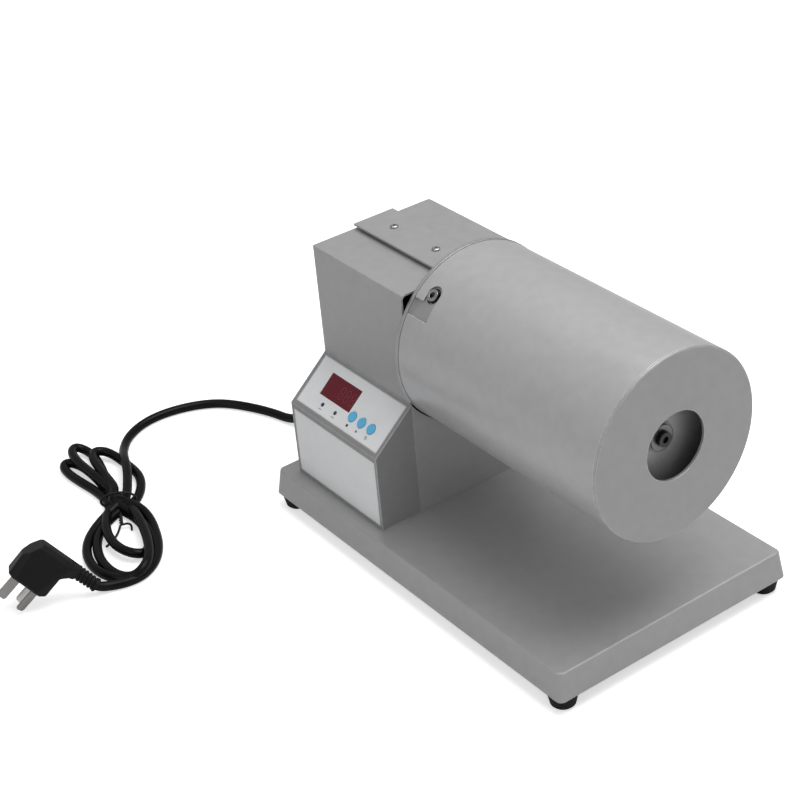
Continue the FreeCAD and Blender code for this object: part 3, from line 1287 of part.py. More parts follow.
doc.recompute()
nodes = {
    "base_pan": base_pan, "rubber_feet": feet, "foot_screws": foot_screws,
    "front_housing": front_housing, "rear_cover": rear_cover, "housing_screws": housing_screws,
    "cover_gasket": cover_gasket,
    "cover_screws": cover_screws, "control_box": control_box, "panel_plate": panel_plate,
    "front_plate": front_plate, "display_window": display_window,
    "display_module": display_module, "control_board": control_board,
    "indicator_lights": indicator_lights, "board_standoffs": board_standoffs,
    "stop_button": doc.getObject("stop_button"), "start_button": doc.getObject("start_button"),
    "timer_button": doc.getObject("timer_button"), "button_switches": button_switches,
    "drive_plate": drive_plate, "plate_screws": plate_screws, "bearing_housing": bearing_housing,
    "housing_bolts": housing_bolts, "bearing_outer_rings": bearing_outer_rings,
    "bearing_inner_rings": bearing_inner_rings, "hollow_spindle": hollow_spindle,
    "spindle_bush": spindle_bush, "drive_flange": drive_flange, "flange_screws": flange_screws,
    "bayonet_screws": bayonet_screws, "driven_gear": driven_gear, "pinion_gear": pinion_gear,
    "motor_gearbox": motor_gearbox, "motor_can": motor_can, "motor_screws": motor_screws,
    "motor_shaft": motor_shaft, "shaft_support": shaft_support,
    "support_screws": support_screws, "trough_shaft": trough_shaft, "trough": trough,
    "shaft_washer": shaft_washer, "trough_screw": trough_screw, "drum_shell": drum_shell,
    "drum_end_plate": drum_cap, "indented_sleeve": indented_sleeve, "cord_gland": cord_gland,
    "gland_nut": gland_nut, "power_cord": power_cord, "cord_hank": hank,
    "cord_tail": cord_tail, "cord_tie": tie, "mains_plug": mains_plug, "plug_pins": plug_pins,
}
for thing in doc.Objects:
    if "Invalid" in thing.State or "Error" in thing.State:
        raise RuntimeError("%s is not built: %s" % (thing.Name, thing.State))
os.makedirs("parts", exist_ok=True)
for name, thing in nodes.items():
    shape = thing.Shape
    if shape.isNull() or not shape.isValid() or not shape.Solids:
        raise RuntimeError("%s has no sound shape" % name)
    thing.Label = name
    box = shape.BoundBox
    print("%s: %d solids, volume %.0f, x %.1f..%.1f, y %.1f..%.1f, z %.1f..%.1f" % (
        name, len(shape.Solids), shape.Volume, box.XMin, box.XMax, box.YMin, box.YMax,
        box.ZMin, box.ZMax))
    shape.exportStep("parts/%s.step" % name)
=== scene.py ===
import json
import math

import bmesh
import bpy
from mathutils import Matrix, Vector


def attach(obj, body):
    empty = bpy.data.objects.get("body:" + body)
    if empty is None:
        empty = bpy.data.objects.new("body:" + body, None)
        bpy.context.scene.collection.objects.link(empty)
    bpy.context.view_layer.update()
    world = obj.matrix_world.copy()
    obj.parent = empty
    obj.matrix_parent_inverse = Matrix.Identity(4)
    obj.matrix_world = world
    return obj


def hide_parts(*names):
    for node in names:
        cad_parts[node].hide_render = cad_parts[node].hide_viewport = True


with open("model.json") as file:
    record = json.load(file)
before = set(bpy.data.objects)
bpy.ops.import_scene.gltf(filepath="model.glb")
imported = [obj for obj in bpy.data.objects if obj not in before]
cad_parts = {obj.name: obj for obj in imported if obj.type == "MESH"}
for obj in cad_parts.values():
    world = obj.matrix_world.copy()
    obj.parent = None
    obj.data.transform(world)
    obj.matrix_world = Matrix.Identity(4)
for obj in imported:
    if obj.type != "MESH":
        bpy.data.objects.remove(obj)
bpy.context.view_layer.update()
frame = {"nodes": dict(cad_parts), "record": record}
nodes = frame["nodes"]
scene = bpy.context.scene
print("frame loaded:", len(nodes), "nodes")

# Camera, at the photograph's viewing angle

cameraSettings = {"place": (0.8998, -0.6855, 0.8169), "heading": 56.44, "tilt": 31.44,
                  "roll": -5.45, "lens": 89.37, "sensor": 36, "near": 0.01}


def addCamera(settings):
    heading, tilt, roll = (math.radians(settings[word]) for word in ("heading", "tilt", "roll"))
    right = Vector((math.cos(heading), math.sin(heading), 0))
    back = Vector((math.sin(heading) * math.cos(tilt), -math.cos(heading) * math.cos(tilt),
                   math.sin(tilt)))
    up = back.cross(right)
    across = right * math.cos(roll) + up * math.sin(roll)
    above = up * math.cos(roll) - right * math.sin(roll)
    turn = Matrix((across, above, back)).transposed().to_4x4()
    data = bpy.data.cameras.new("camera")
    data.lens = settings["lens"]
    data.sensor_width = settings["sensor"]
    data.clip_start = settings["near"]
    camera = bpy.data.objects.new("camera", data)
    scene.collection.objects.link(camera)
    camera.matrix_world = Matrix.Translation(settings["place"]) @ turn
    scene.camera = camera


addCamera(cameraSettings)

# Helpers for pieces: each one rides on a body and stays at the origin

mm = 0.001


def addPiece(name, data, material, body="frame", replaced=()):
    piece = bpy.data.objects.new(name, data)
    scene.collection.objects.link(piece)
    if not data.materials:
        data.materials.append(material)
    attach(piece, body)
    if replaced:
        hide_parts(*replaced)
    return piece


def meshFrom(name, vertices, faces, smooth=True):
    data = bpy.data.meshes.new(name)
    data.from_pydata(vertices, [], faces)
    work = bmesh.new()
    work.from_mesh(data)
    bmesh.ops.remove_doubles(work, verts=work.verts, dist=1e-7)
    bmesh.ops.recalc_face_normals(work, faces=work.faces)
    work.to_mesh(data)
    work.free()
    for face in data.polygons:
        face.use_smooth = smooth
    return data


def lathed(name, profile, place, segments=48):  # turns (radius, height) pairs about place's Z
    vertices, faces = [], []
    for radius, height in profile:
        for step in range(segments):
            turn = 2 * math.pi * step / segments
            vertices.append(place @ Vector((radius * math.cos(turn), radius * math.sin(turn),
                                            height)))
    for ring in range(len(profile) - 1):
        for step in range(segments):
            after = (step + 1) % segments
            low, high = ring * segments, (ring + 1) * segments
            faces.append((low + step, low + after, high + after, high + step))
    return meshFrom(name, vertices, faces)


def sharpened(piece, angle):  # keeps corners crisp on a smooth-shaded piece
    work = bmesh.new()
    work.from_mesh(piece.data)
    for edge in work.edges:
        if edge.is_manifold and edge.calc_face_angle(0) > math.radians(angle):
            edge.smooth = False
    work.to_mesh(piece.data)
    work.free()


def prism(name, outline, axes, low, high, place):  # axes: where first, second and depth go
    vertices = []
    for depth in (low, high):
        for first, second in outline:
            spot = Vector()
            spot[axes[0]], spot[axes[1]], spot[axes[2]] = first, second, depth
            vertices.append(place @ spot)
    count = len(outline)
    faces = [tuple(range(count)), tuple(range(count, 2 * count))]
    faces += [(step, (step + 1) % count, (step + 1) % count + count, step + count)
              for step in range(count)]
    return bpy.data.objects.new(name, meshFrom(name, vertices, faces, smooth=False))


def carved(solid, tools, operation, finishing=()):  # one mesh from a solid and its tools
    for thing in (solid, *tools):
        scene.collection.objects.link(thing)
    for tool in tools:
        cut = solid.modifiers.new(tool.name, "BOOLEAN")
        cut.object = tool
        cut.operation = operation
        cut.solver = "EXACT"
    for kind, settings in finishing:
        modifier = solid.modifiers.new(kind.lower(), kind)
        for word, value in settings.items():
            setattr(modifier, word, value)
    bpy.context.view_layer.update()
    result = bpy.data.meshes.new_from_object(solid.evaluated_get(
        bpy.context.evaluated_depsgraph_get()))
    for thing in (solid, *tools):
        bpy.data.objects.remove(thing)
    return result


# Helpers for shader trees


def feed(tree, value, socket):
    if isinstance(value, bpy.types.NodeSocket):
        tree.links.new(value, socket)
    else:
        socket.default_value = value


def addNode(tree, kind, inputs=(), **settings):
    node = tree.nodes.new(kind)
    for name, value in settings.items():
        setattr(node, name, value)
    for name, value in dict(inputs).items():
        feed(tree, value, node.inputs[name])
    return node


def maths(tree, operation, first, second=0.0):
    node = addNode(tree, "ShaderNodeMath", {0: first, 1: second}, operation=operation)
    return node.outputs[0]


def ranged(tree, value, low, high, newLow=0.0, newHigh=1.0):
    node = addNode(tree, "ShaderNodeMapRange", {"Value": value, "From Min": low, "From Max": high,
                                                "To Min": newLow, "To Max": newHigh})
    return node.outputs[0]


def mixed(tree, factor, first, second, blend="MIX"):
    node = addNode(tree, "ShaderNodeMix", {0: factor, 6: first, 7: second}, data_type="RGBA",
                   blend_type=blend)
    return node.outputs[2]


def noise(tree, vector, scale, detail=3.0, stretch=None):
    if stretch:
        vector = addNode(tree, "ShaderNodeVectorMath", {0: vector, 1: stretch},
                         operation="MULTIPLY").outputs[0]
    return addNode(tree, "ShaderNodeTexNoise", {"Vector": vector, "Scale": scale,
                                                "Detail": detail}).outputs["Fac"]


def newGroup(name, inputs, outputs):
    tree = bpy.data.node_groups.new(name, "ShaderNodeTree")
    for word, value in inputs.items():
        kind = "NodeSocketVector" if isinstance(value, tuple) else "NodeSocketFloat"
        tree.interface.new_socket(word, in_out="INPUT", socket_type=kind).default_value = value
    for word, kind in outputs.items():
        tree.interface.new_socket(word, in_out="OUTPUT", socket_type="NodeSocket" + kind)
    return tree, tree.nodes.new("NodeGroupInput").outputs, tree.nodes.new("NodeGroupOutput").inputs


# Shared effects: grain of a finish, drawn or turned lines, rubbed edges lightened as wear and as a
# painted highlight, and settled dust

# rubbed edges get a gain and lift towards white, as wear and as a painted highlight
# the range for recesses sets how dark the painted shade in them gets
effects = {"cloudScale": 9.0, "broadShare": 0.5, "cloudShare": 0.3, "fineShare": 0.2,
           "fineHeight": 0.7, "broadHeight": 0.3, "grainRange": (0.3, 0.7),
           "turnedScale": 2600.0, "rolledScale": 1500.0, "rolledStretch": (0.03, 1.0, 1.0),
           "linesRange": (0.25, 0.75), "linesHeight": 2.0, "wearHighlightScale": 240.0,
           "wearHighlightRange": (0.30, 0.60, 0.45, 1.0), "edgeRange": (0.985, 0.86), "wornHighlightGain": 1.9,
           "wornHighlightLift": 0.10, "recessShadeRange": (0.25, 0.80, 0.05, 1.0), "dustScale": 38.0,
           "dustRange": (0.35, 0.75), "speckScale": 900.0, "speckRange": (0.60, 0.72),
           "facingRange": (0.3, 0.95), "dustColour": (0.55, 0.53, 0.50, 1),
           "bumpStrength": 0.35, "coatRoughness": 0.2, "roughnessSpread": 0.04}


def grainGroup():
    tree, given, result = newGroup(
        "finishGrain", {"Position": (0, 0, 0), "Fine": 2200.0, "Broad": 60.0},
        {"Shade": "Float", "Height": "Float"})
    fine = noise(tree, given["Position"], given["Fine"], 2.0)
    broad = noise(tree, given["Position"], given["Broad"], 4.0)
    cloud = noise(tree, given["Position"], effects["cloudScale"], 3.0)
    shade = maths(tree, "ADD", maths(tree, "MULTIPLY", broad, effects["broadShare"]),
                  maths(tree, "MULTIPLY", cloud, effects["cloudShare"]))
    tree.links.new(maths(tree, "ADD", shade, maths(tree, "MULTIPLY", fine, effects["fineShare"])),
                   result["Shade"])
    tree.links.new(maths(tree, "ADD", maths(tree, "MULTIPLY", fine, effects["fineHeight"]),
                         maths(tree, "MULTIPLY", broad, effects["broadHeight"])),
                   result["Height"])
    return tree


def toolLinesGroup():  # rolled along X, or turned about an axis along X
    tree, given, result = newGroup(
        "toolLines", {"Position": (0, 0, 0), "Turned": 0.0, "Centre": (0, 0, 0)},
        {"Lines": "Float"})
    apart = addNode(tree, "ShaderNodeVectorMath",
                    {0: given["Position"], 1: given["Centre"]}, operation="SUBTRACT").outputs[0]
    flat = addNode(tree, "ShaderNodeVectorMath", {0: apart, 1: (0, 1, 1)},
                   operation="MULTIPLY").outputs[0]
    radius = addNode(tree, "ShaderNodeVectorMath", {0: flat}, operation="LENGTH").outputs["Value"]
    parts = addNode(tree, "ShaderNodeSeparateXYZ", {0: apart})
    rings = addNode(tree, "ShaderNodeCombineXYZ", {0: radius, 1: parts.outputs["X"]}).outputs[0]
    turnedLines = noise(tree, rings, effects["turnedScale"], 2.0)
    rolledLines = noise(tree, given["Position"], effects["rolledScale"], 2.0,
                        effects["rolledStretch"])
    lines = addNode(tree, "ShaderNodeMix", {0: given["Turned"], 2: rolledLines, 3: turnedLines},
                    data_type="FLOAT").outputs[0]
    tree.links.new(lines, result["Lines"])
    return tree


def edgeGroup():  # a soft normal for sharp edges, and a patchy mask of them where the colour is lightened, as wear and as a painted highlight
    tree, given, result = newGroup(
        "rubbedEdgeHighlight", {"Position": (0, 0, 0), "Radius": 0.0008, "Normal": (0, 0, 0)},
        {"Mask": "Float", "Normal": "Vector"})
    bevel = addNode(tree, "ShaderNodeBevel", {"Radius": given["Radius"],
                                              "Normal": given["Normal"]}, samples=6)
    geometry = addNode(tree, "ShaderNodeNewGeometry")
    same = addNode(tree, "ShaderNodeVectorMath",
                   {0: bevel.outputs[0], 1: geometry.outputs["Normal"]}, operation="DOT_PRODUCT")
    edge = ranged(tree, same.outputs["Value"], *effects["edgeRange"])
    wearHighlight = noise(tree, given["Position"], effects["wearHighlightScale"])
    patchy = ranged(tree, wearHighlight, *effects["wearHighlightRange"])
    tree.links.new(maths(tree, "MULTIPLY", edge, patchy), result["Mask"])
    tree.links.new(bevel.outputs[0], result["Normal"])
    return tree


def dustGroup():
    tree, given, result = newGroup("settledDust", {"Position": (0, 0, 0), "Amount": 0.1},
                                   {"Mask": "Float"})
    geometry = addNode(tree, "ShaderNodeNewGeometry")
    facing = addNode(tree, "ShaderNodeSeparateXYZ", {0: geometry.outputs["Normal"]})
    upward = ranged(tree, facing.outputs["Z"], *effects["facingRange"])
    patches = ranged(tree, noise(tree, given["Position"], effects["dustScale"], 5.0),
                     *effects["dustRange"])
    specks = ranged(tree, noise(tree, given["Position"], effects["speckScale"], 2.0),
                    *effects["speckRange"])
    dust = maths(tree, "MULTIPLY", upward, maths(tree, "MAXIMUM", patches, specks))
    tree.links.new(maths(tree, "MULTIPLY", dust, given["Amount"]), result["Mask"])
    return tree


groups = {"grain": grainGroup(), "lines": toolLinesGroup(), "edge": edgeGroup(),
          "dust": dustGroup()}


def useGroup(tree, name, inputs):
    return addNode(tree, "ShaderNodeGroup", inputs, node_tree=groups[name])


# Finishes: one function builds them all from a few words each

drumAxis = Vector((0, 0.0035, 0.1545))


def makeFinish(name, base, metallic=0.0, roughness=0.5, coat=0.0, specular=0.5, fine=2200.0,
               broad=60.0, shade=0.12, bump=0.000020, lines=0.0, turned=0.0, edge=0.0008,
               rubAndHighlight=0.0, dust=0.04, recessShadeReach=0.0, pockets=False):
    material = bpy.data.materials.new(name)
    material.use_nodes = True
    tree = material.node_tree
    surface = tree.nodes["Principled BSDF"]
    position = addNode(tree, "ShaderNodeTexCoord").outputs["Object"]
    grain = useGroup(tree, "grain", {"Position": position, "Fine": fine, "Broad": broad})
    tone = ranged(tree, grain.outputs["Shade"], *effects["grainRange"], 1 - shade, 1 + shade)
    height = grain.outputs["Height"]
    if lines:
        marks = useGroup(tree, "lines", {"Position": position, "Turned": turned,
                                         "Centre": tuple(drumAxis)}).outputs[0]
        tone = maths(tree, "MULTIPLY", tone,
                     ranged(tree, marks, *effects["linesRange"], 1 - lines, 1 + lines))
        height = maths(tree, "ADD", height,
                       maths(tree, "MULTIPLY", marks, effects["linesHeight"]))
    if recessShadeReach:  # painted shade: colour darkened in recesses and narrow gaps, found by ambient occlusion
        recessShade = addNode(tree, "ShaderNodeAmbientOcclusion", {"Distance": recessShadeReach}, samples=8)
        tone = maths(tree, "MULTIPLY", tone,
                     ranged(tree, recessShade.outputs["AO"], *effects["recessShadeRange"]))
    if pockets:
        height = maths(tree, "ADD", height, sleevePockets(tree, position))
    bumped = addNode(tree, "ShaderNodeBump", {
        "Height": height, "Strength": effects["bumpStrength"], "Distance": bump}).outputs[0]
    rim = useGroup(tree, "edge", {"Position": position, "Radius": edge, "Normal": bumped})
    toned = addNode(tree, "ShaderNodeVectorMath", {0: (*base,), "Scale": tone},
                    operation="SCALE").outputs[0]
    # rubbed edges lightened towards white, partly wear and partly a painted highlight
    wornAndHighlit = mixed(tree, maths(tree, "MULTIPLY", rim.outputs["Mask"], rubAndHighlight), toned,
                 (*[min(1.0, part * effects["wornHighlightGain"] + effects["wornHighlightLift"])
                    for part in base], 1))
    settled = useGroup(tree, "dust", {"Position": position, "Amount": dust})
    feed(tree, mixed(tree, settled.outputs["Mask"], wornAndHighlit, effects["dustColour"]),
         surface.inputs["Base Color"])
    spread = effects["roughnessSpread"]
    feed(tree, ranged(tree, grain.outputs["Shade"], *effects["grainRange"], roughness - spread,
                      roughness + spread), surface.inputs["Roughness"])
    feed(tree, rim.outputs["Normal"], surface.inputs["Normal"])
    surface.inputs["Metallic"].default_value = metallic
    surface.inputs["Coat Weight"].default_value = coat
    surface.inputs["Coat Roughness"].default_value = effects["coatRoughness"]
    surface.inputs["Specular IOR Level"].default_value = specular
    return material


pocketSettings = {"pitch": 0.0052, "depth": 1.0, "around": 72, "floor": 0.30, "rim": 0.42}


def sleevePockets(tree, position):  # staggered round pockets in the sleeve, as a height
    apart = addNode(tree, "ShaderNodeVectorMath", {0: position, 1: tuple(drumAxis)},
                    operation="SUBTRACT").outputs[0]
    parts = addNode(tree, "ShaderNodeSeparateXYZ", {0: apart}).outputs
    turn = maths(tree, "ARCTAN2", parts["Z"], parts["Y"])
    across = maths(tree, "MULTIPLY", turn, pocketSettings["around"] / (2 * math.pi))
    along = maths(tree, "DIVIDE", parts["X"], pocketSettings["pitch"])
    odd = maths(tree, "MULTIPLY", maths(tree, "MODULO", maths(tree, "FLOOR", along), 2.0), 0.5)
    sideways = maths(tree, "SUBTRACT", maths(tree, "FRACT", maths(tree, "ADD", across, odd)), 0.5)
    lengthways = maths(tree, "SUBTRACT", maths(tree, "FRACT", along), 0.5)
    away = maths(tree, "SQRT", maths(tree, "ADD", maths(tree, "POWER", sideways, 2.0),
                                     maths(tree, "POWER", lengthways, 2.0)))
    return ranged(tree, away, pocketSettings["floor"], pocketSettings["rim"],
                  -pocketSettings["depth"], 0.0)


# paint: rubbed edges lightened as wear and as a painted highlight
paint = {"metallic": 0.30, "roughness": 0.40, "coat": 0.12, "fine": 2600.0, "broad": 120.0,
         "shade": 0.07, "bump": 0.000018, "rubAndHighlight": 0.9, "dust": 0.05}
looks = {
    "base_paint": ((0.42, 0.42, 0.425), paint),
    "housing_paint": ((0.42, 0.42, 0.425), {**paint, "edge": 0.0004, "rubAndHighlight": 0.3}),
    # box paint: the housing's paint made darker, a painted shade standing in for the drum's shadow
    # on the box
    "box_paint": ((0.31, 0.31, 0.315), {**paint, "metallic": 0.20, "edge": 0.0014, "rubAndHighlight": 1.3}),
    # drum shell and end cap: one silver paint; the shell's copy lighter than the housing's, a
    # painted highlight, the end cap's darker than the shell's, a painted shade on its end face
    "drum_paint": ((0.51, 0.51, 0.515), {**paint, "roughness": 0.36, "edge": 0.0008,
                                         "rubAndHighlight": 1.0}),
    "drum_end_paint": ((0.40, 0.40, 0.405), {**paint, "roughness": 0.38, "edge": 0.0010,
                                             "rubAndHighlight": 1.0}),
    "flange_alloy": ((0.46, 0.46, 0.47), {"metallic": 0.60, "roughness": 0.36, "lines": 0.10,
                                          "turned": 1.0, "rubAndHighlight": 0.4}),
    "panel_film": ((0.86, 0.87, 0.88), {"roughness": 0.42, "coat": 0.15, "fine": 3800.0,
                                        "shade": 0.04, "edge": 0.0002, "dust": 0.02}),
    "display_red": ((0.150, 0.012, 0.022), {"roughness": 0.20, "coat": 0.15, "specular": 0.25,
                                            "shade": 0.10, "edge": 0.0003, "bump": 0.000004,
                                            "dust": 0.01}),
    "display_case": ((0.012, 0.012, 0.013), {"roughness": 0.5, "specular": 0.2, "edge": 0.0002}),
    "board_green": ((0.010, 0.075, 0.030), {"roughness": 0.4, "lines": 0.25, "edge": 0.0002}),
    "light_lens": ((0.035, 0.035, 0.038), {"roughness": 0.2, "coat": 0.5, "edge": 0.0003}),
    "button_blue": ((0.120, 0.530, 0.840), {"roughness": 0.32, "coat": 0.20, "shade": 0.07,
                                            "edge": 0.0003, "dust": 0.01}),
    "foot_rubber": ((0.012, 0.012, 0.012), {"roughness": 0.72, "specular": 0.25, "fine": 1600.0,
                                            "shade": 0.25, "bump": 0.00005, "dust": 0.05}),
    "gasket_rubber": ((0.200, 0.200, 0.198), {"roughness": 0.75, "specular": 0.3, "shade": 0.2,
                                              "bump": 0.00005}),
    # screws and shafts: colour darkened in their recesses, a painted shade
    "screw_steel": ((0.50, 0.50, 0.49), {"metallic": 1.0, "roughness": 0.26, "shade": 0.14,
                                         "edge": 0.0004, "rubAndHighlight": 0.8, "recessShadeReach": 0.0035}),
    "shaft_screw": ((0.085, 0.085, 0.085), {"metallic": 1.0, "roughness": 0.42, "shade": 0.14,
                                            "edge": 0.0004, "recessShadeReach": 0.0035}),
    "plate_zinc": ((0.42, 0.42, 0.40), {"metallic": 0.9, "roughness": 0.42, "lines": 0.16,
                                        "shade": 0.16}),
    "shaft_steel": ((0.24, 0.24, 0.25), {"metallic": 1.0, "roughness": 0.34, "lines": 0.10,
                                         "turned": 1.0, "recessShadeReach": 0.004}),
    "bearing_steel": ((0.52, 0.52, 0.53), {"metallic": 1.0, "roughness": 0.20, "lines": 0.06,
                                           "turned": 1.0}),
    "gear_steel": ((0.26, 0.26, 0.27), {"metallic": 1.0, "roughness": 0.40, "lines": 0.15,
                                        "turned": 1.0, "shade": 0.16}),
    "trough_steel": ((0.50, 0.50, 0.51), {"metallic": 0.45, "roughness": 0.46, "lines": 0.12}),
    "sleeve_steel": ((0.36, 0.36, 0.37), {"metallic": 0.9, "roughness": 0.38, "shade": 0.14,
                                          "bump": 0.0010, "pockets": True}),
    "cast_alloy": ((0.36, 0.36, 0.36), {"metallic": 0.8, "roughness": 0.55, "fine": 1200.0,
                                        "shade": 0.16, "bump": 0.00008}),
    "brass_bare": ((0.48, 0.31, 0.09), {"metallic": 1.0, "roughness": 0.34, "lines": 0.12,
                                        "turned": 1.0}),
    "motor_black": ((0.016, 0.016, 0.017), {"roughness": 0.38, "coat": 0.2, "shade": 0.2}),
    "cord_black": ((0.0040, 0.0040, 0.0044), {"roughness": 0.30, "specular": 0.16, "fine": 1800.0,
                                              "shade": 0.25, "bump": 0.00003, "edge": 0.0001,
                                              "dust": 0.01}),
    "plug_black": ((0.0055, 0.0055, 0.0060), {"roughness": 0.46, "specular": 0.24,
                                              "fine": 3000.0, "shade": 0.2, "bump": 0.00004,
                                              "dust": 0.01}),
    "tie_black": ((0.008, 0.008, 0.008), {"roughness": 0.5, "specular": 0.3, "shade": 0.2,
                                          "edge": 0.0001, "dust": 0.01}),
    "blade_brass": ((0.36, 0.35, 0.345), {"metallic": 1.0, "roughness": 0.28, "shade": 0.14,
                                          "lines": 0.10, "edge": 0.0003}),
    "printed_ink": ((0.020, 0.022, 0.026), {"roughness": 0.5, "shade": 0.2, "edge": 0.0001}),
    "dim_segment": ((0.195, 0.028, 0.042), {"roughness": 0.3, "shade": 0.1, "edge": 0.0001}),
}
finishes = {name: makeFinish(name, base, **look) for name, (base, look) in looks.items()}
ownLook = {"trough_screw": "shaft_screw"}  # a node that looks unlike its slot
slotOf = {part["node"]: part["material_slot"] for part in frame["record"]["subparts"]}
for name, node in nodes.items():
    for index in range(len(node.data.materials)):
        node.data.materials[index] = finishes[ownLook.get(name, slotOf[name])]
print("finishes made:", len(finishes))

# Mains lead: out of the gland, down to the bench, round to a tied hank and on to the plug

leadSettings = {"radius": 3.5 * mm, "length": 1.60, "exitY": -14 * mm, "exitZ": 47 * mm,
                "fineness": 6}
leadRoute = [(-144.5, -14, 47), (-187, -14, 47), (-207, -18.5, 37), (-225, -23.2, 13.5),
             (-244.2, -29, 3.5), (-265.7, -34.5, 3.5), (-287.8, -44.7, 3.5),
             (-304.6, -55.8, 3.5), (-315, -70, 3.5), (-321.5, -87, 3.5), (-324, -105, 3.5),
             (-321, -122, 3.5), (-312, -138, 3.5), (-298, -149.5, 4.5), (-283, -157, 8.5),
             (-271.5, -161.2, 10.3), (-257.5, -167.8, 10)]
tailRoute = [(-217, -181, 7.5), (-203, -181, 4.5), (-188.5, -185.3, 3.5), (-172.5, -191.8, 3.5),
             (-159.4, -200.5, 3.5), (-150.4, -211, 3.5), (-146.4, -221.8, 3.5),
             (-147, -231.5, 3.5), (-149.8, -239.5, 3.5), (-151.6, -245.4, 4.4),
             (-152.2, -248.6, 5.4), (-152.8, -250.9, 6.4), (-153.6, -252.2, 7.3)]

# The hank's turns leave the waist in the tie and come back to it: reach, width, heading, bow and
# fullness of the turn, then its heights on the way out and back; the widest petal is a route

waist = Vector((-234, -188.5, 0))
acrossWaist = Vector((0.5, 0.866, 0))
widePetal = [(-248, -184, 9.5), (-261, -182, 9.5), (-276, -180, 9.5), (-288, -178, 9.3),
             (-296.5, -176, 9), (-303, -173, 8.6), (-306, -168.5, 8), (-303, -163, 7),
             (-296, -159.5, 5.5), (-288, -158, 4.2), (-279, -157, 3.5), (-269, -157, 3.5),
             (-259, -158, 3.5), (-249, -162, 3.5), (-240, -168, 3.5), (-233, -175, 3.5)]
turns = [(93, 60, -33, -11, 0.28, 3.5, 3.5), widePetal,
         (93, 44, -34, -17, 0.26, 3.5, 10.0), (90, -29, 171, -2, 1.67, 8.5, 4.0),
         (69, 31, -27, -10, 0.17, 7.0, 3.5), (80, -21, -180, -3, 1.10, 3.5, 3.5)]
waistPlaces = [(5.7, 8.9), (-5.7, 8.9), (8.6, 3.5), (2.9, 3.5), (-2.9, 3.5), (-8.6, 3.5), (0, 9.2)]
pointsPerTurn = 14


def eased(share, knots):  # a value between knots (share, value), smooth at each of them
    for (start, low), (end, high) in zip(knots, knots[1:]):
        if share <= end:
            part = (share - start) / (end - start)
            return low + (high - low) * part * part * (3 - 2 * part)
    return knots[-1][1]


def turnPoints(shape, leaving, arriving):
    reach, width, heading, bow, fullness, outHeight, backHeight = shape
    along = Vector((math.cos(math.radians(heading)), math.sin(math.radians(heading)), 0))
    side = Vector((-along.y, along.x, 0))
    points = []
    for step in range(pointsPerTurn):
        share = step / pointsPerTurn
        swing = (1 - math.cos(2 * math.pi * share)) / 2
        offset = width / 2 * math.sin(2 * math.pi * share) * swing ** fullness + bow * swing ** 2
        shift = eased(share, [(0, leaving[0]), (0.25, 0), (0.75, 0), (1, arriving[0])])
        height = eased(share, [(0, leaving[1]), (0.2, outHeight), (0.45, outHeight),
                               (0.6, backHeight), (0.8, backHeight), (1, arriving[1])])
        flat = waist + along * reach * swing - side * offset + acrossWaist * shift
        points.append((flat.x, flat.y, height))
    return points


leadPoints = list(leadRoute)
for shape, leaving, arriving in zip(turns, waistPlaces, waistPlaces[1:]):
    place = waist + acrossWaist * leaving[0]
    leadPoints += ([(place.x, place.y, leaving[1])] + shape if shape is widePetal
                   else turnPoints(shape, leaving, arriving))
lastPlace = waist + acrossWaist * waistPlaces[-1][0]
leadPoints += [(lastPlace.x, lastPlace.y, waistPlaces[-1][1])] + tailRoute


def routed(name, points, radius, sides=6):
    data = bpy.data.curves.new(name, "CURVE")
    data.dimensions = "3D"
    data.bevel_depth = radius
    data.bevel_resolution = sides
    data.resolution_u = leadSettings["fineness"]
    data.use_fill_caps = True
    spline = data.splines.new("NURBS")
    spline.points.add(len(points) - 1)
    for point, (x, y, z) in zip(spline.points, points):
        point.co = (x * mm, y * mm, z * mm, 1)
    spline.order_u = 3
    spline.use_endpoint_u = True
    print("%s: %d points, %.3f m long" % (name, len(points), spline.calc_length()))
    return data


powerCord = addPiece("powerCord", routed("powerCord", leadPoints, leadSettings["radius"]),
                     finishes["cord_black"],
                     replaced=("power_cord", "cord_hank", "cord_tail"))

# Twist tie: round the waist of the hank, then a twisted stem and two loose ends

tieSettings = {"radius": 0.85 * mm, "halfWidth": 13.2, "shift": -0.8, "top": 15.8,
               "stemStart": Vector((-226.0, -193.5, 3.5)), "stemEnd": Vector((-210.5, -200.8, 4.0)),
               "stemTurns": 2.5, "stemSteps": 12, "twist": 0.9, "loopStart": 190,
               "loopSweep": 340, "loopSteps": 14, "lift": 0.6}
tieFirstEnd = [(-203.5, -196.7, 1.2), (-207.0, -194.2, 2.8), (-210.2, -196.4, 3.8)]
tieOtherEnd = [(-205.5, -206.5, 2.6), (-200.5, -214.0, 1.4), (-198.0, -221.0, 1.2)]


def tieStem(settings, phase):
    way = (settings["stemEnd"] - settings["stemStart"]).normalized()
    side = way.cross(Vector((0, 0, 1))).normalized()
    above = side.cross(way)
    steps = settings["stemSteps"]
    points = []
    for step in range(steps + 1):
        turn = phase + 2 * math.pi * settings["stemTurns"] * step / steps
        spread = (side * math.cos(turn) + above * math.sin(turn)) * settings["twist"]
        points.append(settings["stemStart"].lerp(settings["stemEnd"], step / steps) + spread)
    return points


def tiePoints(settings):  # loose end, stem, loop round the waist, stem again, other loose end
    loop = []
    half, lift = settings["top"] / 2, settings["lift"]
    for step in range(settings["loopSteps"] + 1):
        turn = math.radians(settings["loopStart"]
                            + settings["loopSweep"] * step / settings["loopSteps"])
        reach = settings["shift"] + settings["halfWidth"] * math.sin(turn)
        height = half + lift + (half - 2 * lift) * math.cos(turn)
        loop.append(waist + acrossWaist * reach + Vector((0, 0, height)))
    return (tieFirstEnd + tieStem(settings, 0)[::-1] + loop + tieStem(settings, math.pi)
            + tieOtherEnd)


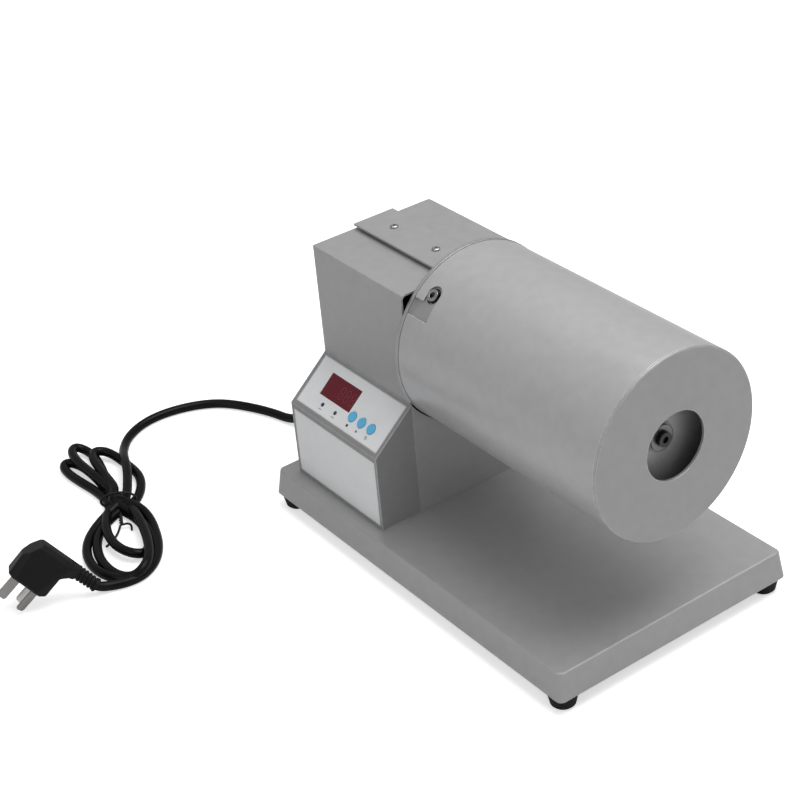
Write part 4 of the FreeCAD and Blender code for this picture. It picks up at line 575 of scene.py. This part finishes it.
tieRoute = [tuple(point) for point in tiePoints(tieSettings)]
cordTie = addPiece("cordTie", routed("cordTie", tieRoute, tieSettings["radius"], 3),
                   finishes["tie_black"], replaced=("cord_tie",))

# Right-angle plug: the moulding is where its three outlines meet, its edges softened, with a
# ribbed strain relief; along the lead, along the pins, sideways

plugSettings = {"origin": Vector((-153.6, -252.2, 7.3)), "turn": 48, "heading": 53, "roll": -17,
                "neck": Vector((-18, 0.4, 0)), "neckRadius": 5.5, "tipRadius": 4.8, "ribs": 6,
                "root": -6, "bore": 3.3, "hollow": 0.4, "crease": 40, "cell": 0.55 * mm,
                "softening": 7, "half": 80}
ribShape = [(0.0, 1.1), (0.10, 0.25), (0.22, 0.0), (0.46, 0.0), (0.58, 0.25), (0.68, 1.1)]
endRing = [(-0.6, 1.4), (0.3, 1.2), (0.5, 0.8), (0.2, 0.2), (-0.6, 0)]  # out, before the end
plugOutlines = [
    ("plugSide", (0, 1, 2), [(-17, -4), (-17, 5.2), (-20.5, 5.6), (-25.3, 9.2), (-25, 25),
                             (-29.5, 27.3), (-55.3, 27.3), (-56.2, 11), (-49, -3.6)]),
    ("plugEnd", (1, 2, 0), [(-4, -4), (-1, -8), (25.5, -12), (27.3, -10), (27.3, 10),
                            (25.5, 12), (-1, 8), (-4, 4)]),
    ("plugPlan", (0, 2, 1), [(-16, -4.5), (-16, 4.5), (-32.5, 12), (-51, 12), (-57, 4),
                             (-57, -4), (-51, -12), (-32.5, -12)])]


def plugFrame(settings):
    heading, turn = math.radians(settings["heading"]), math.radians(settings["turn"])
    level = Vector((math.cos(heading), math.sin(heading), 0))
    leadWay = level * math.cos(turn) - Vector((0, 0, math.sin(turn)))
    pinWay = level * -math.sin(turn) - Vector((0, 0, math.cos(turn)))
    pinWay = Matrix.Rotation(math.radians(settings["roll"]), 3, leadWay) @ pinWay
    rotation = Matrix((leadWay, pinWay, leadWay.cross(pinWay))).transposed().to_4x4()
    return Matrix.Scale(mm, 4) @ Matrix.Translation(settings["origin"]) @ rotation


plugPlace = plugFrame(plugSettings)


def plugMesh(settings):
    half = settings["half"]
    first, *others = [prism(name, outline, axes, -half, half, plugPlace)
                      for name, axes, outline in plugOutlines]
    return carved(first, others, "INTERSECT", [
        ("REMESH", {"mode": "VOXEL", "voxel_size": settings["cell"], "use_smooth_shade": True}),
        ("SMOOTH", {"factor": 0.5, "iterations": settings["softening"]})])


def reliefMesh(settings):  # tapered, its ribs standing proud of narrower waists
    neck = settings["neck"]
    way = -neck.normalized()
    side = Vector((-way.y, way.x, 0))
    turned = Matrix((side, way.cross(side), way)).transposed().to_4x4()
    length = neck.length
    profile = [(0, settings["root"]), (settings["neckRadius"], settings["root"])]
    for rib in range(settings["ribs"]):
        for share, inset in ribShape:
            along = (rib + share) / settings["ribs"]
            radius = settings["neckRadius"] + (settings["tipRadius"]
                                               - settings["neckRadius"]) * along
            profile.append((radius - inset, length * along))
    profile += [(settings["tipRadius"] + out, length - before) for out, before in endRing]
    profile += [(settings["bore"], length), (0, length - settings["hollow"])]
    return lathed("plugRelief", profile, plugPlace @ Matrix.Translation(neck) @ turned)


plugMoulding = addPiece("plugMoulding", plugMesh(plugSettings), finishes["plug_black"],
                        replaced=("mains_plug",))
plugRelief = addPiece("plugRelief", reliefMesh(plugSettings), finishes["plug_black"])
sharpened(plugRelief, plugSettings["crease"])

print("mains lead, tie and plug made")

# Panel: everything on the slope is placed in millimetres from its lower left corner

slopeSettings = {"angle": 41.1, "corner": (-143.9, -85.2, 89.4)}
slopePlace = (Matrix.Scale(mm, 4) @ Matrix.Translation(slopeSettings["corner"])
              @ Matrix.Rotation(math.radians(slopeSettings["angle"]), 4, "X"))
buttonSettings = {"first": 60.5, "pitch": 11.0, "up": 15.3, "radius": 3.8, "rise": 0.7,
                  "collar": 0.9, "collarTop": -2.3, "collarLow": -3.3, "stem": 1.6,
                  "stemEnd": -4.7, "crease": 50}
capEdge = [(0, 0.6), (0.12, 0.3), (0.4, 0.06), (0.8, 0)]  # in from the rim, down from the top
capDish = [(0.55, 0.08), (0.25, 0.16), (0, 0.18)]  # share of the radius, down from the top
buttonRows = [("stop_button", "stop_key"), ("start_button", "start_key"),
              ("timer_button", "timer_key")]


def addButtons(settings):  # domed caps with a collar and a stem behind the panel
    radius, rise = settings["radius"], settings["rise"]
    stem, stemEnd, collar = settings["stem"], settings["stemEnd"], radius + settings["collar"]
    low, top = settings["collarLow"], settings["collarTop"]
    profile = [(0, stemEnd), (stem, stemEnd), (stem, low), (collar, low), (collar, top),
               (radius, top)]
    profile += [(radius - inward, rise - down) for inward, down in capEdge]
    profile += [(radius * share, rise - down) for share, down in capDish]
    for index, (node, body) in enumerate(buttonRows):
        place = slopePlace @ Matrix.Translation((settings["first"] + settings["pitch"] * index,
                                                 settings["up"], 0))
        cap = addPiece(node + "Cap", lathed(node + "Cap", profile, place), finishes["button_blue"],
                       body, (node,))
        sharpened(cap, settings["crease"])


addButtons(buttonSettings)

# Printed marks on the label plate: an icon for each button and a dash for each light

markSettings = {"surface": -0.16, "iconUp": 8.3, "lightFirst": 28.7, "lightPitch": 15.2,
                "dashUp": 7.3, "dashHalf": 1.6, "stroke": 0.42, "film": 0.03 * mm,
                "dial": 1.1, "dialStroke": 0.7, "handStroke": 0.6}
stopIcon = [(-1, -1), (1, -1), (1, 1), (-1, 1)]
startIcon = [(-0.9, -1.1), (1.2, 0), (-0.9, 1.1)]
dialHands = [(0, 0.75), (0.5, 0)]


def flatShapes(name, shapes, height, material):  # outlines of (x, up) corners
    vertices, faces = [], []
    for outline in shapes:
        start = len(vertices)
        vertices += [slopePlace @ Vector((x, up, height)) for x, up in outline]
        faces.append(tuple(range(start, start + len(outline))))
    data = meshFrom(name, vertices, faces, smooth=False)
    piece = addPiece(name, data, material)
    skin = piece.modifiers.new("film", "SOLIDIFY")
    skin.thickness = markSettings["film"]
    skin.offset = 1
    return piece


def stroke(start, end, width):  # a straight printed line as a four-cornered outline
    way = (Vector(end) - Vector(start)).normalized() * width / 2
    side = Vector((-way.y, way.x))
    first, last = Vector(start), Vector(end)
    return [tuple(first + side), tuple(first - side), tuple(last - side), tuple(last + side)]


def ringStrokes(x, up, radius, width, count=16):
    spots = [(x + radius * math.cos(2 * math.pi * step / count),
              up + radius * math.sin(2 * math.pi * step / count)) for step in range(count + 1)]
    return [stroke(first, last, width) for first, last in zip(spots, spots[1:])]


def panelMarks(settings):
    up, width = settings["iconUp"], settings["stroke"]
    stopX, startX, timerX = [buttonSettings["first"] + buttonSettings["pitch"] * index
                             for index in range(3)]
    shapes = [[(x + across, up + above) for across, above in icon]
              for x, icon in ((stopX, stopIcon), (startX, startIcon))]
    shapes += ringStrokes(timerX, up, settings["dial"], width * settings["dialStroke"])
    shapes += [stroke((timerX, up), (timerX + across, up + above), width * settings["handStroke"])
               for across, above in dialHands]
    for index in range(2):
        x = settings["lightFirst"] + settings["lightPitch"] * index
        half, level = settings["dashHalf"], settings["dashUp"]
        shapes.append(stroke((x - half, level), (x + half, level), width))
    return shapes


flatShapes("panelMarks", panelMarks(markSettings), markSettings["surface"],
           finishes["printed_ink"])

# Display: unlit figures of seven segments, seen dimly through the red window

digitSettings = {"surface": -0.36, "first": 37.0, "pitch": 6.4, "up": 20.2, "wide": 3.6,
                 "high": 9.0, "stroke": 0.7, "count": 3}


def digitShapes(settings):
    shapes = []
    for index in range(settings["count"]):
        x = settings["first"] + settings["pitch"] * index
        half, gap = settings["high"] / 2, settings["stroke"] * 0.7
        for level in range(3):
            up = settings["up"] + half * level
            shapes.append(stroke((x + gap, up), (x + settings["wide"] - gap, up),
                                 settings["stroke"]))
        for column in range(2):
            for level in range(2):
                low = settings["up"] + half * level
                place = x + settings["wide"] * column
                shapes.append(stroke((place, low + gap), (place, low + half - gap),
                                     settings["stroke"]))
    return shapes


flatShapes("displaySegments", digitShapes(digitSettings), digitSettings["surface"],
           finishes["dim_segment"])
print("panel made")

# Cover screws: pan heads with a cross recess, one made and set twice by geometry nodes

screwSettings = {"places": [(-120.6, 0.25, 204.8), (-73.0, 0.25, 204.8)], "radius": 2.9,
                 "height": 1.7, "shank": 1.5, "shankLength": 5.0, "crossLength": 3.4,
                 "crossWidth": 0.75, "crossDepth": 1.0, "rim": 0.45, "domeSteps": 6,
                 "crease": 35, "seed": 4, "spin": 1.5}


def screwMesh(settings):
    radius, height, rim = settings["radius"], settings["height"], settings["rim"]
    profile = [(0, -settings["shankLength"]), (settings["shank"], -settings["shankLength"]),
               (settings["shank"], 0), (radius, 0), (radius, height * rim)]
    for step in range(1, settings["domeSteps"]):
        turn = math.pi / 2 * step / settings["domeSteps"]
        profile.append((radius * math.cos(turn), height * (rim + (1 - rim) * math.sin(turn))))
    profile.append((0, height))
    head = bpy.data.objects.new("screwHead", lathed("screwHead", profile, Matrix.Scale(mm, 4)))
    half, wide = settings["crossLength"] / 2, settings["crossWidth"] / 2
    outline = [(half, -wide), (half, wide), (wide, wide), (wide, half), (-wide, half),
               (-wide, wide), (-half, wide), (-half, -wide), (-wide, -wide), (-wide, -half),
               (wide, -half), (wide, -wide)]
    cross = prism("screwCross", outline, (0, 1, 2), height - settings["crossDepth"], height + 1,
                  Matrix.Scale(mm, 4))
    return carved(head, [cross], "DIFFERENCE")


def instanceTree(settings):  # one object on every point of a mesh, with its material set
    tree = bpy.data.node_groups.new("setOnPoints", "GeometryNodeTree")
    tree.interface.new_socket("Geometry", in_out="INPUT", socket_type="NodeSocketGeometry")
    pattern = tree.interface.new_socket("Pattern", in_out="INPUT", socket_type="NodeSocketObject")
    finish = tree.interface.new_socket("Finish", in_out="INPUT", socket_type="NodeSocketMaterial")
    tree.interface.new_socket("Geometry", in_out="OUTPUT", socket_type="NodeSocketGeometry")
    given = tree.nodes.new("NodeGroupInput").outputs
    info = addNode(tree, "GeometryNodeObjectInfo", {"Object": given["Pattern"]})
    points = addNode(tree, "GeometryNodeMeshToPoints", {"Mesh": given["Geometry"]})
    turned = addNode(tree, "FunctionNodeRandomValue", {"Seed": settings["seed"]},
                     data_type="FLOAT_VECTOR")
    turned.inputs[0].default_value = (0, 0, 0)
    turned.inputs[1].default_value = (0, 0, settings["spin"])
    placed = addNode(tree, "GeometryNodeInstanceOnPoints",
                     {"Points": points.outputs[0], "Instance": info.outputs["Geometry"],
                      "Rotation": turned.outputs[0]})
    real = addNode(tree, "GeometryNodeRealizeInstances", {0: placed.outputs[0]})
    coated = addNode(tree, "GeometryNodeSetMaterial", {"Geometry": real.outputs[0],
                                                       "Material": given["Finish"]})
    tree.links.new(coated.outputs[0], tree.nodes.new("NodeGroupOutput").inputs[0])
    return tree, pattern.identifier, finish.identifier


def addScrews(settings):
    pattern = bpy.data.objects.new("screwPattern", screwMesh(settings))
    scene.collection.objects.link(pattern)
    spots = bpy.data.meshes.new("coverScrewPlaces")
    spots.from_pydata([Vector(place) * mm for place in settings["places"]], [], [])
    carrier = bpy.data.objects.new("coverScrewPlaces", spots)
    scene.collection.objects.link(carrier)
    modifier = carrier.modifiers.new("screws", "NODES")
    modifier.node_group, patternInput, finishInput = instanceTree(settings)
    modifier[patternInput] = pattern
    modifier[finishInput] = finishes["screw_steel"]
    bpy.context.view_layer.update()
    data = bpy.data.meshes.new_from_object(carrier.evaluated_get(
        bpy.context.evaluated_depsgraph_get()))
    bpy.data.objects.remove(carrier)
    bpy.data.objects.remove(pattern)
    screws = addPiece("coverScrewHeads", data, finishes["screw_steel"],
                      replaced=("cover_screws",))
    sharpened(screws, settings["crease"])


addScrews(screwSettings)
print("screws made")

# Floor, lamps and world: white all round, with a soft light from above

stageSettings = {"world": 0.36, "bounce": 0.76, "lift": 0.54, "seen": 0.97, "half": 4.0,
                 "lamps": [("topLamp", (0.15, 0.35, 1.5), (0.0, 0.0, 0.1), 1.3, 16.6),
                           ("frontLamp", (0.1, -1.6, 0.9), (-0.05, 0.0, 0.1), 1.0, 3.4),
                           ("sideLamp", (1.5, 0.3, 0.7), (0.1, 0.0, 0.15), 0.9, 1.4)]}


def floorFinish(settings):
    material = bpy.data.materials.new("floorWhite")
    material.use_nodes = True
    tree = material.node_tree
    tree.nodes.remove(tree.nodes["Principled BSDF"])
    seen = addNode(tree, "ShaderNodeLightPath").outputs["Is Camera Ray"]
    diffuse = addNode(tree, "ShaderNodeBsdfDiffuse", {
        "Color": mixed(tree, seen, (*[settings["bounce"]] * 3, 1),
                       (*[settings["seen"]] * 3, 1))})
    glow = addNode(tree, "ShaderNodeEmission",
                   {"Strength": maths(tree, "MULTIPLY", seen, settings["lift"])})
    both = addNode(tree, "ShaderNodeAddShader", {0: diffuse.outputs[0], 1: glow.outputs[0]})
    tree.links.new(both.outputs[0], tree.nodes["Material Output"].inputs["Surface"])
    return material


def addStage(settings):
    half = settings["half"]
    data = meshFrom("floor", [(-half, -half, 0), (half, -half, 0), (half, half, 0),
                              (-half, half, 0)], [(0, 1, 2, 3)], smooth=False)
    data.materials.append(floorFinish(settings))
    floor = bpy.data.objects.new("floor", data)
    scene.collection.objects.link(floor)
    for name, place, target, size, power in settings["lamps"]:
        lamp = bpy.data.lights.new(name, "AREA")
        lamp.size = size
        lamp.energy = power
        holder = bpy.data.objects.new(name, lamp)
        scene.collection.objects.link(holder)
        aim = (Vector(place) - Vector(target)).to_track_quat("Z", "Y")
        holder.matrix_world = Matrix.Translation(place) @ aim.to_matrix().to_4x4()
    world = bpy.data.worlds.new("whiteRoom")
    world.use_nodes = True
    tree = world.node_tree
    background = tree.nodes["Background"]
    seen = addNode(tree, "ShaderNodeLightPath").outputs["Is Camera Ray"]
    background.inputs["Color"].default_value = (1, 1, 1, 1)
    feed(tree, ranged(tree, seen, 0.0, 1.0, settings["world"], 1.0),
         background.inputs["Strength"])
    scene.world = world
    scene.view_settings.view_transform = "Standard"


addStage(stageSettings)
print("stage made")
